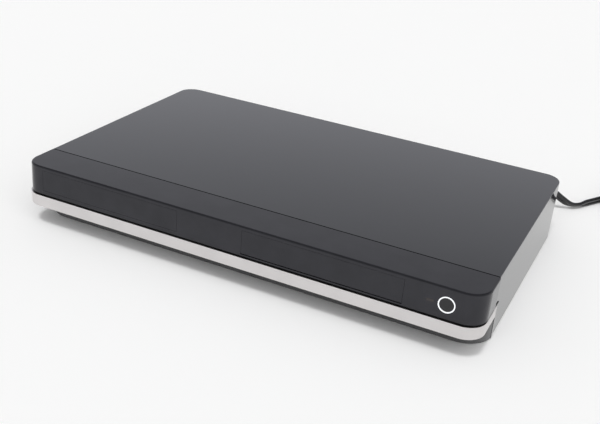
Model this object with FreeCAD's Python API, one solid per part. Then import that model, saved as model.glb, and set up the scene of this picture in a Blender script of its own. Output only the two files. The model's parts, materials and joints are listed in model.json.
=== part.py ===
import FreeCAD, Part
import math
import os

V = FreeCAD.Vector

# A full-width disc recorder for the shelf, with its mains lead, in millimetres.
# The origin is the middle of its footprint, on the surface that its feet stand on.
# X runs along the width, the front faces -Y and Z is up.

# Overall size, with the silver band at the front and the aerial sockets at the rear
overall_width = 427.0
overall_depth = 280.0
overall_height = 59.2
foot_height = 1.0

# Front bezel: the gloss face with a flat strip of the top behind it
bezel_wall = 2.5
strip_depth = 38.7
front_radius = 17.0
edge_round = 1.7
fit = 0.1

# Silver band that wraps the front below the bezel, and the dark gap above it
band_proud = 1.5
band_wall = 2.3
band_bottom = 21.0
band_height = 10.6
band_reach = 45.0
band_fit = 0.2
gap_height = 1.2
gap_reach = 34.5
gap_recess = 2.0

# Lower bezel: the wall behind the band, and the skirt set back under it
skirt_set_back = 24.8
lower_wall = 2.0
lower_reach = 50.0
underside_recess = 0.4

# Top cover, with its sides and rounded rear corners
side_step = 0.6
cover_wall = 1.2
cover_gap = 0.4
seam_gap = 1.2
rear_radius = 16.0
rear_wrap = 11.4
tongue_reach = 6.0
tongue_thickness = 2.0
cover_tab_height = 9.0
cover_tab_width = 30.0
cover_lip = 3.2

# Bottom chassis and its feet
sheet = 1.0
flange_height = 12.0
vent_length = 34.0
vent_width = 4.0
vent_pitch = 9.0
vent_count = 7
post_radius = 4.0
stud_radius = 2.5
foot_radius = 11.0
foot_side = 43.0
foot_front = 62.0
foot_rear = 34.0

# Rear panel, set in from the rear end of the cover
panel_inset = 4.0
aerial_overhang = 4.3
screw_head = 3.2
screw_head_height = 1.2
screw_radius = 1.4
screw_length = 2.2
screw_rise = 5.0
screw_side = 18.0

# Power button with its light ring, and the status lens
button_side = 29.0
button_drop = 1.0
ring_outer = 6.8
ring_inner = 5.9
ring_depth = 3.4
ring_proud = 0.3
button_clearance = 0.15
button_flange = 0.6
button_travel = 0.6
lens_side = 42.1
lens_width = 6.4
lens_height = 2.4
lens_depth = 4.0

# Flap at the right of the front, and the bay behind it
flap_side = 63.5
flap_width = 140.0
flap_rise = 1.4
flap_wall = 2.5
flap_gap = 0.2
opening_margin = 0.9
hinge_barrel = 1.4
hinge_pin = 0.7
hinge_clearance = 0.05
bay_depth = 11.0
bay_wall = 1.5
catch_width = 8.0
catch_height = 5.0
catch_gap = 0.3

# Keys in the bay, and the small board behind it
key_count = 4
key_width = 9.0
key_height = 4.6
key_pitch = 12.0
key_first = 32.0
key_proud = 0.8
key_travel = 0.6
key_clearance = 0.25
key_stem = 1.5
key_flange = 0.8
key_flange_thickness = 1.0
board_back = 18.0
switch_height = 1.9
switch_side = 6.0
switch_gap = 0.1

# Sockets in the bay
socket_rise = 5.2
usb_place = 14.0
usb_width = 13.2
usb_height = 5.8
usb_length = 14.0
usb_shell = 0.4
usb_tongue = 1.8
card_place = 105.0
card_width = 57.0
card_height = 5.4
card_length = 46.0
card_slot_width = 54.6
card_slot_height = 1.4

# Disc drive: base, bridge, lid and tray
drive_side = 17.5
drive_width = 148.0
drive_front = 8.0
drive_length = 186.0
drive_lift = 8.0
drive_wall = 3.0
drive_floor = 2.0
deck_floor = 1.6
deck_gap = 0.2
tub_gap = 2.4
drive_post_inset = 26.0
drive_lid_gap = 2.4
drive_lid_sheet = 0.8
disc_back = 80.0
disc_radius = 60.5
small_disc_radius = 40.5
recess_depth = 2.0
small_recess_depth = 1.0
tray_width = 131.0
tray_length = 183.0
tray_rise = 30.0
tray_thickness = 5.5
tray_slot_width = 42.0
rail_width = 3.4
rail_height = 2.5
rail_clearance = 0.2
ledge_thickness = 2.8
upper_ledge_length = 50.0
fascia_width = 140.0
fascia_drop = 3.5
fascia_gap = 0.2

# Gears, pulleys, belt and motor that move the tray
rack_module = 1.0
rack_line = 60.0
rack_depth = 3.2
rack_back = 4.0
pinion_teeth = 22
rack_start = 30.0
gear_back = 41.0
gear_width = 3.0
wheel_module = 0.8
wheel_teeth = 36
drive_pinion_teeth = 12
wheel_rise = 20.0
pulley_radius = 10.0
motor_pulley_radius = 4.0
pulley_width = 3.0
belt_size = 1.2
tray_motor_radius = 9.5
tray_motor_height = 12.5
tray_motor_place = 18.0
axle_radius = 1.5
shaft_radius = 1.0
running_clearance = 0.05
tooth_clearance = 0.12
pressure_angle = 20.0
tooth_root = 1.25

# Traverse: the hinged frame under the disc, with the spindle and the laser
traverse_half = 46.0
traverse_rise = 14.5
traverse_plate = 3.0
traverse_front = 64.0
window_width = 40.0
pivot_back = 178.0
pivot_radius = 2.0
pivot_length = 6.0
traverse_drop = 2.4
cam_travel = 20.0
cam_pin = 1.0
cam_clearance = 0.25
cam_plate = 3.0
cam_back = 57.5
cam_length = 85.0
cam_height = 18.0
spindle_motor_radius = 12.0
spindle_motor_height = 14.0
turntable_gap = 1.0
turntable_radius = 14.0
turntable_thickness = 2.5
hub_radius = 7.3
hub_height = 1.4
bridge_thickness = 1.6
bridge_length = 30.0
clamper_radius = 15.0
clamper_neck = 12.0
clamper_clearance = 1.0
clamper_gap = 0.2
clamper_plate = 1.4
rod_radius = 1.5
rod_half_gap = 26.0
rod_rise = 3.8
rod_block = 6.0
sled_half = 29.5
sled_length = 34.0
sled_inner = 24.0
sled_travel = 34.0
sled_gap = 1.0
sled_height = 7.6
turret_side = 16.0
turret_height = 3.6
lens_radius = 3.2
lens_travel = 0.4
lens_thickness = 1.4
holder_thickness = 0.8
holder_gap = 2.0
holder_step = 3.0
screw_offset = 36.0
screw_thread = 1.5
sled_motor_radius = 5.0
sled_motor_length = 18.0

# Hard drive and its bracket
hdd_gap = 12.2
hdd_width = 101.6
hdd_length = 147.0
hdd_height = 26.1
hdd_front = 38.0
bracket_lift = 10.0
bracket_wall_height = 18.0

# Boards and the parts on them
pcb = 1.6
standoff = 6.0
main_side = 21.4
main_width = 256.0
main_depth = 60.0
board_gap = 1.3
sink_place = 202.0
sink_side = 42.0
sink_height = 20.0
sink_base = 4.0
sink_fins = 8
sink_fin = 1.6
chip_side = 29.4
chip_height = 2.0
small_chip_count = 3
small_chip_pitch = 22.0
small_chip_place = 14.0
small_chip_width = 14.0
small_chip_length = 10.0
small_chip_height = 1.2
tuner_place = 46.0
tuner_width = 76.0
tuner_length = 28.0
tuner_height = 22.0
aerial_count = 4
aerial_pitch = 19.0
aerial_radius = 4.7
aerial_bore = 2.6
aerial_rise = 11.0
aerial_bore_depth = 8.0
aerial_pin = 0.6
aerial_pin_drop = 1.5
thread_count = 6
thread_pitch = 0.9
thread_width = 0.35
thread_start = 1.2
hdmi_place = 112.0
lan_place = 146.0
usb_rear_place = 240.0
hdmi_width = 15.0
hdmi_height = 5.8
lan_side = 15.8
lan_height = 13.4
lan_hole_width = 11.8
lan_hole_height = 8.4
socket_length = 18.0
power_side = 5.4
power_width = 80.0
power_front = 70.0
power_rear_gap = 23.2
transformer_side = 34.0
transformer_height = 26.0
core_height = 20.8
winding_width = 23.8
winding_length = 39.1
capacitor_radius = 9.0
capacitor_height = 25.0
capacitor_side = 16.0
capacitor_step = 18.0
small_capacitor_count = 3
small_capacitor_side = 12.0
small_capacitor_step = 10.0
small_capacitor_pitch = 11.0
small_capacitor_radius = 4.5
small_capacitor_height = 17.5
fin_side = 8.0
fin_length = 54.4
fin_thickness = 2.0
choke_bore = 4.0
choke_radius = 10.0
choke_height = 11.0
choke_side = 18.0
choke_step = 24.0

# Fan behind the rear panel
fan_place = 115.4
fan_side = 40.0
fan_depth = 15.0
fan_rise = 6.0
fan_wall = 1.2
fan_blades = 7
fan_hub = 9.5
fan_spoke = 3.0
fan_tip_clearance = 0.8
fan_pin = 1.5
fan_corner = 3.0
blade_thick = 1.2
blade_pitch = 38.0

# Mains inlet and the connector in it
inlet_side = 20.4
inlet_rise = 26.0
inlet_width = 17.0
inlet_height = 10.0
inlet_wall = 2.5
inlet_depth = 16.0
inlet_flange = 1.2
inlet_pin = 1.2
inlet_pin_gap = 8.6
connector_fit = 0.2
connector_in = 12.0
grip_length = 10.0
grip_swell = 1.0
relief_length = 20.0

# Mains lead: a flat twin lead, its free stretch, its coil and its plug
cord_width = 7.6
cord_thickness = 3.8
cord_lift = 0.2
lead_points = [
    (192.9, 179.1, 25.6),
    (196.7, 186.4, 22.7),
    (202.0, 192.3, 18.1),
    (208.5, 196.8, 12.1),
    (215.0, 201.3, 7.0),
    (221.0, 206.8, 4.4),
    (227.2, 214.6, 4.0),
    (233.9, 225.6, 4.0),
    (240.6, 237.0, 4.0),
]
coil_x = 300.8
coil_y = 248.5
coil_outer = 46.0
coil_pitch = 4.6
coil_half_turns = 5
coil_layer = 8.4
coil_start = 150.0
coil_climb_step = 5.2
coil_lead = 13.0
coil_end_drop = 24.0
plug_length = 30.0
plug_width = 22.0
plug_height = 16.0
plug_round = 0.2
blade_length = 17.0
blade_width = 6.3
blade_thickness = 1.5
blade_gap = 12.7

# Places that follow from the sizes above
front_y = band_proud - overall_depth / 2
rear_y = overall_depth / 2 - aerial_overhang
panel_y = rear_y - panel_inset
panel_in = panel_y - sheet
top_z = overall_height
base_z = foot_height
floor_z = base_z + sheet
bezel_half = overall_width / 2
cover_half = bezel_half - side_step
inner_half = cover_half - cover_wall
chassis_half = min(inner_half, bezel_half - lower_wall) - fit
bezel_bottom = band_bottom + band_height + gap_height
bezel_ceiling = top_z - bezel_wall
cover_ceiling = top_z - cover_wall
strip_y = front_y + strip_depth
lower_y = front_y + lower_reach
skirt_y = front_y + skirt_set_back
corner_reach = rear_radius - panel_inset
corner_room = rear_radius - cover_wall - cover_gap
panel_half = cover_half - rear_radius + math.sqrt(corner_room ** 2 - corner_reach ** 2)
button_x = bezel_half - button_side
button_z = (bezel_bottom + top_z) / 2 - button_drop
lens_x = bezel_half - lens_side
opening_top = bezel_ceiling - opening_margin
flap_right = bezel_half - flap_side
flap_left = flap_right - flap_width
flap_bottom = bezel_bottom + flap_rise
flap_top = opening_top - flap_gap
hinge_y = front_y + hinge_barrel
hinge_z = flap_bottom + hinge_barrel
bay_y = front_y + bay_depth
bay_rear = bay_y + bay_wall
board_y = front_y + board_back
switch_y = board_y - switch_height
key_z = (flap_bottom + flap_top) / 2
socket_z = flap_bottom + socket_rise
usb_x = flap_left + usb_place
card_x = flap_left + card_place
drive_left = drive_side - bezel_half
drive_right = drive_left + drive_width
drive_x = (drive_left + drive_right) / 2
drive_y = front_y + drive_front
drive_rear = drive_y + drive_length
drive_z = floor_z + drive_lift
well_z = drive_z + drive_floor
under_top = band_bottom + underside_recess + lower_wall
deck_z = under_top + deck_gap
tub_y = skirt_y + lower_wall + tub_gap
disc_y = front_y + disc_back
tray_y = front_y + bezel_wall
tray_rear = tray_y + tray_length
tray_z = drive_z + tray_rise
tray_top = tray_z + tray_thickness
wall_top = tray_top + drive_wall / 2
lid_z = wall_top + bridge_thickness + drive_lid_gap
tray_half = tray_width / 2
fascia_bottom = tray_z - fascia_drop
pinion_radius = rack_module * pinion_teeth / 2
wheel_radius = wheel_module * wheel_teeth / 2
drive_pinion_radius = wheel_module * drive_pinion_teeth / 2
rack_x = drive_x + rack_line
rack_z = tray_z - rack_depth
gear_x = rack_x - pinion_radius
gear_y = front_y + gear_back
pulley_x = gear_x - wheel_radius - drive_pinion_radius
tray_motor_x = drive_x - tray_motor_place
wheel_z = drive_z + wheel_rise
pulley_z = wheel_z - pulley_width - axle_radius
traverse_z = drive_z + traverse_rise
traverse_top = traverse_z + traverse_plate
traverse_y = front_y + traverse_front
pivot_y = front_y + pivot_back
pivot_z = traverse_z + traverse_plate / 2
cam_y = front_y + cam_back
cam_z = pivot_z - cam_height / 2 - 1
table_z = traverse_top + spindle_motor_height + turntable_gap
table_top = table_z + turntable_thickness
hub_top = table_top + hub_height
rod_z = traverse_top + rod_rise
sled_z = traverse_top + sled_gap
sled_top = sled_z + sled_height
sled_y = disc_y + sled_inner
feed_x = drive_x + screw_offset
feed_z = traverse_top + sled_motor_radius + fit
feed_motor_y = sled_y + sled_travel + sled_length / 2 - rod_block
hdd_left = drive_right + hdd_gap
hdd_right = hdd_left + hdd_width
hdd_y = front_y + hdd_front
hdd_z = floor_z + bracket_lift
board_z = floor_z + standoff
board_top = board_z + pcb
main_left = main_side - chassis_half
main_right = main_left + main_width
main_rear = panel_in - board_gap
main_y = main_rear - main_depth
power_right = chassis_half - power_side
power_left = power_right - power_width
power_y = front_y + power_front
power_rear = panel_in - power_rear_gap
fan_x = chassis_half - fan_place
fan_z = floor_z + fan_rise + fan_side / 2
fan_y = panel_in - fan_depth
inlet_x = chassis_half - inlet_side
inlet_z = base_z + inlet_rise
grip_y = panel_y + inlet_flange + fit
relief_y = grip_y + grip_length
lead_start = V(inlet_x, relief_y + relief_length, inlet_z)


def box(x0, x1, y0, y1, z0, z1):
    """A block between two corners."""
    return Part.makeBox(x1 - x0, y1 - y0, z1 - z0, V(x0, y0, z0))


def bar_x(radius, x0, x1, y, z):
    """A round bar along X."""
    return Part.makeCylinder(radius, x1 - x0, V(x0, y, z), V(1, 0, 0))


def bar_y(radius, x, y0, y1, z):
    """A round bar along Y."""
    return Part.makeCylinder(radius, y1 - y0, V(x, y0, z), V(0, 1, 0))


def bar_z(radius, x, y, z0, z1):
    """An upright round bar."""
    return Part.makeCylinder(radius, z1 - z0, V(x, y, z0))


def outline(corners, place):
    """A closed wire through (a, b, radius) corners, rounded where the radius is over zero."""
    edges = []
    ends = []
    count = len(corners)
    for i, (a, b, radius) in enumerate(corners):
        here = V(a, b, 0)
        before = V(corners[i - 1][0], corners[i - 1][1], 0) - here
        after = V(corners[(i + 1) % count][0], corners[(i + 1) % count][1], 0) - here
        before.normalize()
        after.normalize()
        if radius <= 0:
            ends.append((here, here))
            continue
        half = before.getAngle(after) / 2
        reach = radius / math.tan(half)
        middle = before + after
        middle.normalize()
        peak = here + middle * (radius / math.sin(half) - radius)
        start = here + before * reach
        stop = here + after * reach
        ends.append((start, stop))
        edges.append(Part.Arc(place(start), place(peak), place(stop)).toShape())
    for i in range(count):
        leave = ends[i][1]
        arrive = ends[(i + 1) % count][0]
        if (leave - arrive).Length > 1e-6:
            edges.append(Part.LineSegment(place(leave), place(arrive)).toShape())
    return Part.Wire(Part.sortEdges(edges)[0])


def prism(corners, z0, z1):
    """An upright prism on a plan outline."""
    wire = outline(corners, lambda p: V(p.x, p.y, z0))
    return Part.Face(wire).extrude(V(0, 0, z1 - z0))


def prism_x(corners, x0, x1):
    """A prism along X on an outline of (y, z) corners."""
    wire = outline(corners, lambda p: V(x0, p.x, p.y))
    return Part.Face(wire).extrude(V(x1 - x0, 0, 0))


def prism_y(corners, y0, y1):
    """A prism along Y on an outline of (x, z) corners."""
    wire = outline(corners, lambda p: V(p.x, y0, p.y))
    return Part.Face(wire).extrude(V(0, y1 - y0, 0))


def slab(half, y0, y1, front, rear, z0, z1):
    """An upright slab about the middle, with rounded front and rear corners."""
    return prism([(-half, y0, front), (half, y0, front), (half, y1, rear), (-half, y1, rear)], z0, z1)


def round_y(x, z, width, height, radius, y0, y1):
    """A block along Y about a centre, with its four long edges rounded."""
    w = width / 2
    h = height / 2
    corners = [(x - w, z - h, radius), (x + w, z - h, radius), (x + w, z + h, radius), (x - w, z + h, radius)]
    return prism_y(corners, y0, y1)


def block(x, y, width, length, z0, z1):
    """A block on a plan centre."""
    return box(x - width / 2, x + width / 2, y - length / 2, y + length / 2, z0, z1)


def joined(shapes):
    """One shape from several that touch or overlap."""
    return shapes[0].multiFuse(shapes[1:]).removeSplitter()


def without(shape, tools):
    """The shape with every tool cut from it."""
    for tool in tools:
        shape = shape.cut(tool)
    return shape


def together(shapes):
    """Separate solids kept as one group."""
    return Part.makeCompound(shapes)


def save(name, shape):
    """Writes one node, and says if it isn't sound."""
    if not shape.isValid():
        print("not valid:", name)
    shape.exportStep("parts/" + name + ".step")


def round_top(shape, z, radius, keep):
    """Rounds the edges at a height that pass a test of their middle."""
    edges = [e for e in shape.Edges if abs(e.BoundBox.ZMin - z) < 1e-4 and abs(e.BoundBox.ZMax - z) < 1e-4]
    chosen = [e for e in edges if keep(e.CenterOfMass)]
    return shape.makeFillet(radius, chosen)


def bezel_ring(inset, y1, z0, z1, thickness):
    """A U wall, as deep as thickness, set in from the bezel's front and sides."""
    radius = front_radius - inset
    outer = slab(bezel_half - inset, front_y + inset, y1, radius, 0, z0, z1)
    deep = inset + thickness
    inner = slab(bezel_half - deep, front_y + deep, y1 + 1, front_radius - deep, 0, z0 - 1, z1 + 1)
    return outer.cut(inner)


def front_bezel():
    """The front face with its ceiling strip, openings and rear tongue."""
    outer = slab(bezel_half, front_y, strip_y, front_radius, 0, bezel_bottom, top_z)
    outer = round_top(outer, top_z, min(edge_round, bezel_wall - fit), lambda c: c.y < strip_y - 0.1)
    hollow_half = bezel_half - bezel_wall
    hollow_y = front_y + bezel_wall
    hollow = slab(
        hollow_half, hollow_y, strip_y + 1, front_radius - bezel_wall, 0, bezel_bottom - 1, bezel_ceiling
    )
    tongue_top = cover_ceiling - fit
    tongue_half = inner_half - tongue_reach
    tongue_z = tongue_top - tongue_thickness
    tongue = box(
        -tongue_half, tongue_half, strip_y - tongue_reach, strip_y + tongue_reach, tongue_z, tongue_top
    )
    boss = bar_y(
        stud_radius, button_x + ring_outer + stud_radius, front_y + bezel_wall / 2, board_y, button_z
    )
    shell = joined([outer.cut(hollow), tongue, boss] + [hinge_boss(x) for x in hinge_places()])
    deep = front_y + bezel_wall + 1
    fascia_z = (fascia_bottom + opening_top - fascia_gap) / 2
    fascia_high = opening_top + fascia_gap - fascia_bottom
    tray_hole = round_y(drive_x, fascia_z, fascia_width + 2 * fascia_gap, fascia_high, 0, front_y - 1, deep)
    flap_hole = box(
        flap_left - flap_gap, flap_right + flap_gap, front_y - 1, deep, flap_bottom - flap_gap,
        opening_top
    )
    ring_hole = bar_y(ring_outer + fit / 2, button_x, front_y - 1, deep, button_z)
    lens_hole = round_y(
        lens_x, button_z, lens_width + fit, lens_height + fit, lens_height / 2, front_y - 1, deep
    )
    room = hinge_pin + hinge_clearance
    pin_holes = [bar_x(room, x - 1, x + bay_wall + 1, hinge_y, hinge_z) for x in hinge_places()]
    return without(shell, [tray_hole, flap_hole, ring_hole, lens_hole] + pin_holes)


def hinge_places():
    """The left ends of the two bearings of the flap, one each side of its opening."""
    return [flap_left - flap_gap - bay_wall, flap_right + flap_gap]


def hinge_boss(x):
    """The block behind the bezel's wall that one hinge pin turns in."""
    half = 2 * hinge_pin
    return box(x, x + bay_wall, front_y + bezel_wall / 2, hinge_y + half, hinge_z - half, hinge_z + half)


def silver_band():
    """The bright strip that stands proud of the front and lies flush with the sides."""
    end_y = front_y + band_reach
    band_top = band_bottom + band_height
    deep = band_wall - band_proud
    outer = slab(bezel_half, front_y - band_proud, end_y, front_radius, 0, band_bottom, band_top)
    inner = slab(
        bezel_half - deep, front_y + deep, end_y + 1, front_radius - deep, 0, band_bottom - 1, band_top + 1
    )
    return outer.cut(inner)


def skirt_slab(inset, z0, z1):
    """The plan of the skirt, set in all round."""
    return slab(bezel_half - inset, skirt_y + inset, lower_y, skirt_set_back - inset, 0, z0, z1)


def lower_bezel():
    """The wall behind the band, its groove and underside, and the skirt that stands back below."""
    inset = band_wall - band_proud + band_fit
    band_top = band_bottom + band_height
    under_z = band_bottom + underside_recess
    wall = bezel_ring(inset, lower_y, band_bottom, band_top, lower_wall)
    ledge = bezel_ring(inset, lower_y, band_top - lower_wall, band_top, gap_recess + lower_wall)
    riser = bezel_ring(inset + gap_recess, lower_y, band_top - lower_wall, bezel_bottom, lower_wall)
    under = slab(bezel_half - inset, front_y + inset, lower_y, front_radius - inset, 0, under_z, under_top)
    room = skirt_slab(lower_wall, under_z - 1, under_top + 1)
    skirt = skirt_slab(0, base_z, band_bottom - band_fit)
    neck = skirt_slab(inset, band_bottom - band_fit - 1, under_top)
    hollow = skirt_slab(lower_wall, base_z - 1, under_top + 1)
    hollow = hollow.fuse(hollow.translated(V(0, lower_wall, 0)))
    pieces = [wall, ledge, riser, under.cut(room), skirt.cut(hollow), neck.cut(hollow)]
    gap_y = front_y + gap_reach
    end_y = front_y + band_reach + band_fit
    for side in (-1, 1):
        outer = side * bezel_half
        inner = side * (bezel_half - lower_wall)
        x0 = min(outer, inner)
        x1 = max(outer, inner)
        pieces.append(box(x0, x1, gap_y, lower_y, band_top + band_fit, bezel_bottom))
        pieces.append(box(x0, x1, end_y, lower_y, base_z, bezel_bottom))
    return joined(pieces)


def top_cover():
    """The folded cover: top, sides, rounded rear corners and the tabs inside its rear edge."""
    y0 = strip_y + seam_gap
    outer = slab(cover_half, y0, rear_y, 0, rear_radius, base_z, top_z)
    outer = round_top(outer, top_z, min(edge_round, cover_wall - fit), lambda c: c.y > y0 + 0.1)
    inner_y = rear_y - cover_wall
    hollow = slab(inner_half, y0 - 1, inner_y, 0, rear_radius - cover_wall, base_z - 1, cover_ceiling)
    open_half = cover_half - rear_wrap
    rear = box(-open_half, open_half, inner_y - 1, rear_y + 1, base_z - 1, top_z - cover_lip)
    cut_y = lower_y + cover_gap
    step = box(-overall_width, overall_width, y0 - 1, cut_y, base_z - 1, bezel_bottom + cover_gap)
    shell = without(outer, [hollow, rear, step])
    tabs = []
    for x in screw_places():
        w = cover_tab_width / 2
        tab_z = cover_ceiling - cover_tab_height
        tab = box(x - w, x + w, panel_in - fit - sheet, panel_in - fit, tab_z, top_z - cover_wall / 2)
        tabs.append(tab.cut(bar_y(screw_radius + fit, x, panel_in - 3 * sheet, panel_in + 1, top_screw_z())))
    return joined([shell] + tabs)


def screw_places():
    """The X places of the screws along the rear panel."""
    outer = panel_half - screw_side
    return [-outer, -outer / 3, outer / 3, outer]


def top_screw_z():
    """The height of the screws that hold the cover's tabs."""
    return cover_ceiling - cover_tab_height + screw_rise


def bottom_chassis():
    """The floor sheet with its side and rear flanges, vents, posts and studs."""
    front = skirt_y + lower_wall + fit
    radius = max(skirt_set_back - lower_wall - fit, sheet)
    floor = slab(chassis_half, front, panel_y, radius, corner_reach, base_z, floor_z)
    pieces = [floor]
    flange_y = lower_y + cover_gap
    flange_end = panel_y - 2 * corner_reach
    for side in (-1, 1):
        x0 = min(side * chassis_half, side * (chassis_half - sheet))
        pieces.append(box(x0, x0 + sheet, flange_y, flange_end, floor_z - sheet / 2, floor_z + flange_height))
    rear_half = panel_half - screw_side / 2
    rear = box(-rear_half, rear_half, panel_in - fit - sheet, panel_in - fit, floor_z - sheet / 2, board_z)
    pieces.append(rear)
    for x in screw_places():
        pieces.append(
            block(x, panel_in - fit - sheet / 2, 2 * screw_rise, sheet, floor_z, floor_z + 2 * screw_rise)
        )
    for x, y in drive_posts():
        pieces.append(bar_z(post_radius, x, y, floor_z - sheet / 2, drive_z))
    for x, y in board_studs():
        pieces.append(bar_z(stud_radius, x, y, floor_z - sheet / 2, board_z))
    room = screw_radius + fit
    holes = [bar_y(room, x, panel_in - 3 * sheet, panel_in + 1, floor_z + screw_rise) for x in screw_places()]
    return without(joined(pieces), floor_vents() + holes)


def drive_posts():
    """Where the disc drive stands on the chassis."""
    xs = (drive_left + 2 * post_radius, drive_right - 2 * post_radius)
    return [(x, y) for x in xs for y in (drive_y + drive_post_inset, drive_rear - drive_post_inset)]


def board_studs():
    """Where the main board and the power board stand on the chassis."""
    inset = 2 * stud_radius
    places = [
        (x, y) for x in (main_left + inset, main_right - inset) for y in (main_y + inset, main_rear - 3 * inset)
    ]
    places += [
        (x, y) for x in (power_left + inset, power_right - inset) for y in (power_y + inset, power_rear - inset)
    ]
    return places


def vent_row(x, y, z0, z1):
    """A row of slots that cut through a flat sheet."""
    slots = []
    for i in range(vent_count):
        slot_x = x + (i - (vent_count - 1) / 2) * vent_pitch
        slots.append(block(slot_x, y, vent_width, vent_length, z0, z1))
    return slots


def floor_vents():
    """The vents under the disc drive, the hard drive and the power board."""
    z0 = base_z - 1
    z1 = floor_z + sheet / 2
    middle_y = (drive_y + drive_rear) / 2
    hdd_x = (hdd_left + hdd_right) / 2
    power_x = (power_left + power_right) / 2
    slots = []
    for x in (drive_x, hdd_x, power_x):
        slots += vent_row(x, middle_y, z0, z1)
    return slots


def feet():
    """Four round pads under the chassis."""
    x = chassis_half - foot_side
    places = [(sx * x, y) for sx in (-1, 1) for y in (front_y + foot_front, rear_y - foot_rear)]
    return together([bar_z(foot_radius, px, py, 0, base_z) for px, py in places])


def rear_panel():
    """The flat rear sheet with its holes for sockets, fan, inlet and screws."""
    panel = box(-panel_half, panel_half, panel_in, panel_y, floor_z, cover_ceiling - fit)
    y0 = panel_in - 1
    y1 = panel_y + 1
    holes = [bar_y(aerial_radius + fit, x, y0, y1, aerial_z()) for x in aerial_places()]
    hdmi_z = board_top + hdmi_height / 2
    lan_z = board_top + lan_height / 2
    holes.append(
        round_y(main_left + hdmi_place, hdmi_z, hdmi_width + 2 * fit, hdmi_height + 2 * fit, 0, y0, y1)
    )
    holes.append(round_y(main_left + lan_place, lan_z, lan_side + 2 * fit, lan_height + 2 * fit, 0, y0, y1))
    usb_z = board_top + usb_height / 2
    holes.append(
        round_y(main_left + usb_rear_place, usb_z, usb_width + 2 * fit, usb_height + 2 * fit, 0, y0, y1)
    )
    width = inlet_width + 2 * inlet_wall + 2 * fit
    height = inlet_height + 2 * inlet_wall + 2 * fit
    holes.append(round_y(inlet_x, inlet_z, width, height, 0, y0, y1))
    holes += fan_slots(y0, y1)
    for x in screw_places():
        for z in (floor_z + screw_rise, top_screw_z()):
            holes.append(bar_y(screw_radius + fit, x, y0, y1, z))
    return without(panel, holes)


def fan_slots(y0, y1):
    """The upright slots in front of the fan, as long as the round of its blades allows."""
    reach = fan_side / 2 - fan_wall
    slots = []
    count = int(2 * reach / (2 * vent_width))
    for i in range(count):
        off = (i - (count - 1) / 2) * 2 * vent_width
        half = math.sqrt(max(reach ** 2 - off ** 2, vent_width ** 2))
        slots.append(round_y(fan_x + off, fan_z, vent_width, 2 * half, vent_width / 2 - fit, y0, y1))
    return slots


def rear_screws():
    """The screws that hold the rear panel to the chassis and to the cover's tabs."""
    screws = []
    seat = panel_y + screw_head_height / 2
    end = panel_y + 2 * screw_head_height
    for x in screw_places():
        for z in (floor_z + screw_rise, top_screw_z()):
            head = bar_y(screw_head, x, panel_y, panel_y + screw_head_height, z)
            shank = bar_y(screw_radius, x, panel_y - screw_length, seat, z)
            wide = round_y(x, z, screw_head, screw_head / 5, 0, seat, end)
            tall = round_y(x, z, screw_head / 5, screw_head, 0, seat, end)
            screws.append(without(head.fuse(shank), [wide, tall]))
    return together(screws)


def power_ring():
    """The light ring round the power button."""
    y0 = front_y - ring_proud
    ring = bar_y(ring_outer, button_x, y0, front_y + ring_depth, button_z)
    return ring.cut(bar_y(ring_inner, button_x, y0 - 1, front_y + ring_depth + 1, button_z))


def power_button():
    """The round cap with the flange behind its ring and the stem to its switch."""
    cap = bar_y(
        ring_inner - button_clearance, button_x, front_y, front_y + ring_depth + button_flange, button_z
    )
    flange_y = front_y + ring_depth + fit
    flange = bar_y(ring_inner + button_flange, button_x, flange_y, flange_y + button_flange * 2, button_z)
    stem = bar_y(key_stem, button_x, flange_y, switch_y - switch_gap - button_travel, button_z)
    return joined([cap, flange, stem])


def status_lens():
    """The small clear lens beside the power button."""
    return round_y(
        lens_x, button_z, lens_width, lens_height, lens_height / 2 - fit, front_y, front_y + lens_depth
    )


def flap_door():
    """The flap with its rounded lower edge and its two hinge pins."""
    low = [
        (front_y, hinge_z, 0), (front_y, flap_top, 0), (front_y + flap_wall, flap_top, 0),
        (front_y + flap_wall, hinge_z, 0)
    ]
    plate = prism_x(low, flap_left, flap_right)
    barrel = bar_x(hinge_barrel, flap_left, flap_right, hinge_y, hinge_z)
    reach = flap_gap + bay_wall - fit
    pins = [bar_x(hinge_pin, flap_left - reach, flap_left + 1, hinge_y, hinge_z)]
    pins.append(bar_x(hinge_pin, flap_right - 1, flap_right + reach, hinge_y, hinge_z))
    return joined([plate, barrel] + pins)


def flap_bay():
    """The open box behind the flap, with the ears of its hinge and the bosses of its board."""
    x0 = flap_left - flap_gap
    x1 = flap_right + flap_gap
    z0 = flap_bottom - flap_gap
    z1 = opening_top
    y0 = front_y + bezel_wall
    low = bezel_bottom + fit
    high = bezel_ceiling - fit
    outer = box(x0 - bay_wall, x1 + bay_wall, y0, bay_rear, low, high)
    shell = outer.cut(box(x0, x1, y0 - 1, bay_y, z0, z1))
    half = 2 * hinge_pin + fit
    bosses = []
    for x in (flap_left + stud_radius, flap_right - stud_radius):
        bosses.append(bar_y(stud_radius, x, bay_rear - bay_wall / 2, board_y, key_z))
    body = joined([shell] + bosses)
    deep = bay_rear + 1
    holes = [
        box(x - 1, x + bay_wall + 1, y0 - 1, hinge_y + half, hinge_z - half, hinge_z + half) for x in hinge_places()
    ]
    holes.append(round_y(usb_x, socket_z, usb_width + 2 * fit, usb_height + 2 * fit, 0, bay_y - 1, deep))
    holes.append(round_y(card_x, socket_z, card_slot_width, card_slot_height, 0, bay_y - 1, deep))
    for x in key_places():
        holes.append(
            round_y(x, key_z, key_width + 2 * key_clearance, key_height + 2 * key_clearance, 0, bay_y - 1, deep)
        )
    return without(body, holes)


def flap_catch():
    """The catch block that the closed flap meets."""
    z1 = flap_top - 1
    y0 = front_y + flap_wall + catch_gap
    return box(card_x - catch_width / 2, card_x + catch_width / 2, y0, bay_y, z1 - catch_height, z1)


def key_places():
    """The X places of the keys in the bay."""
    return [flap_left + key_first + i * key_pitch for i in range(key_count)]


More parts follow.
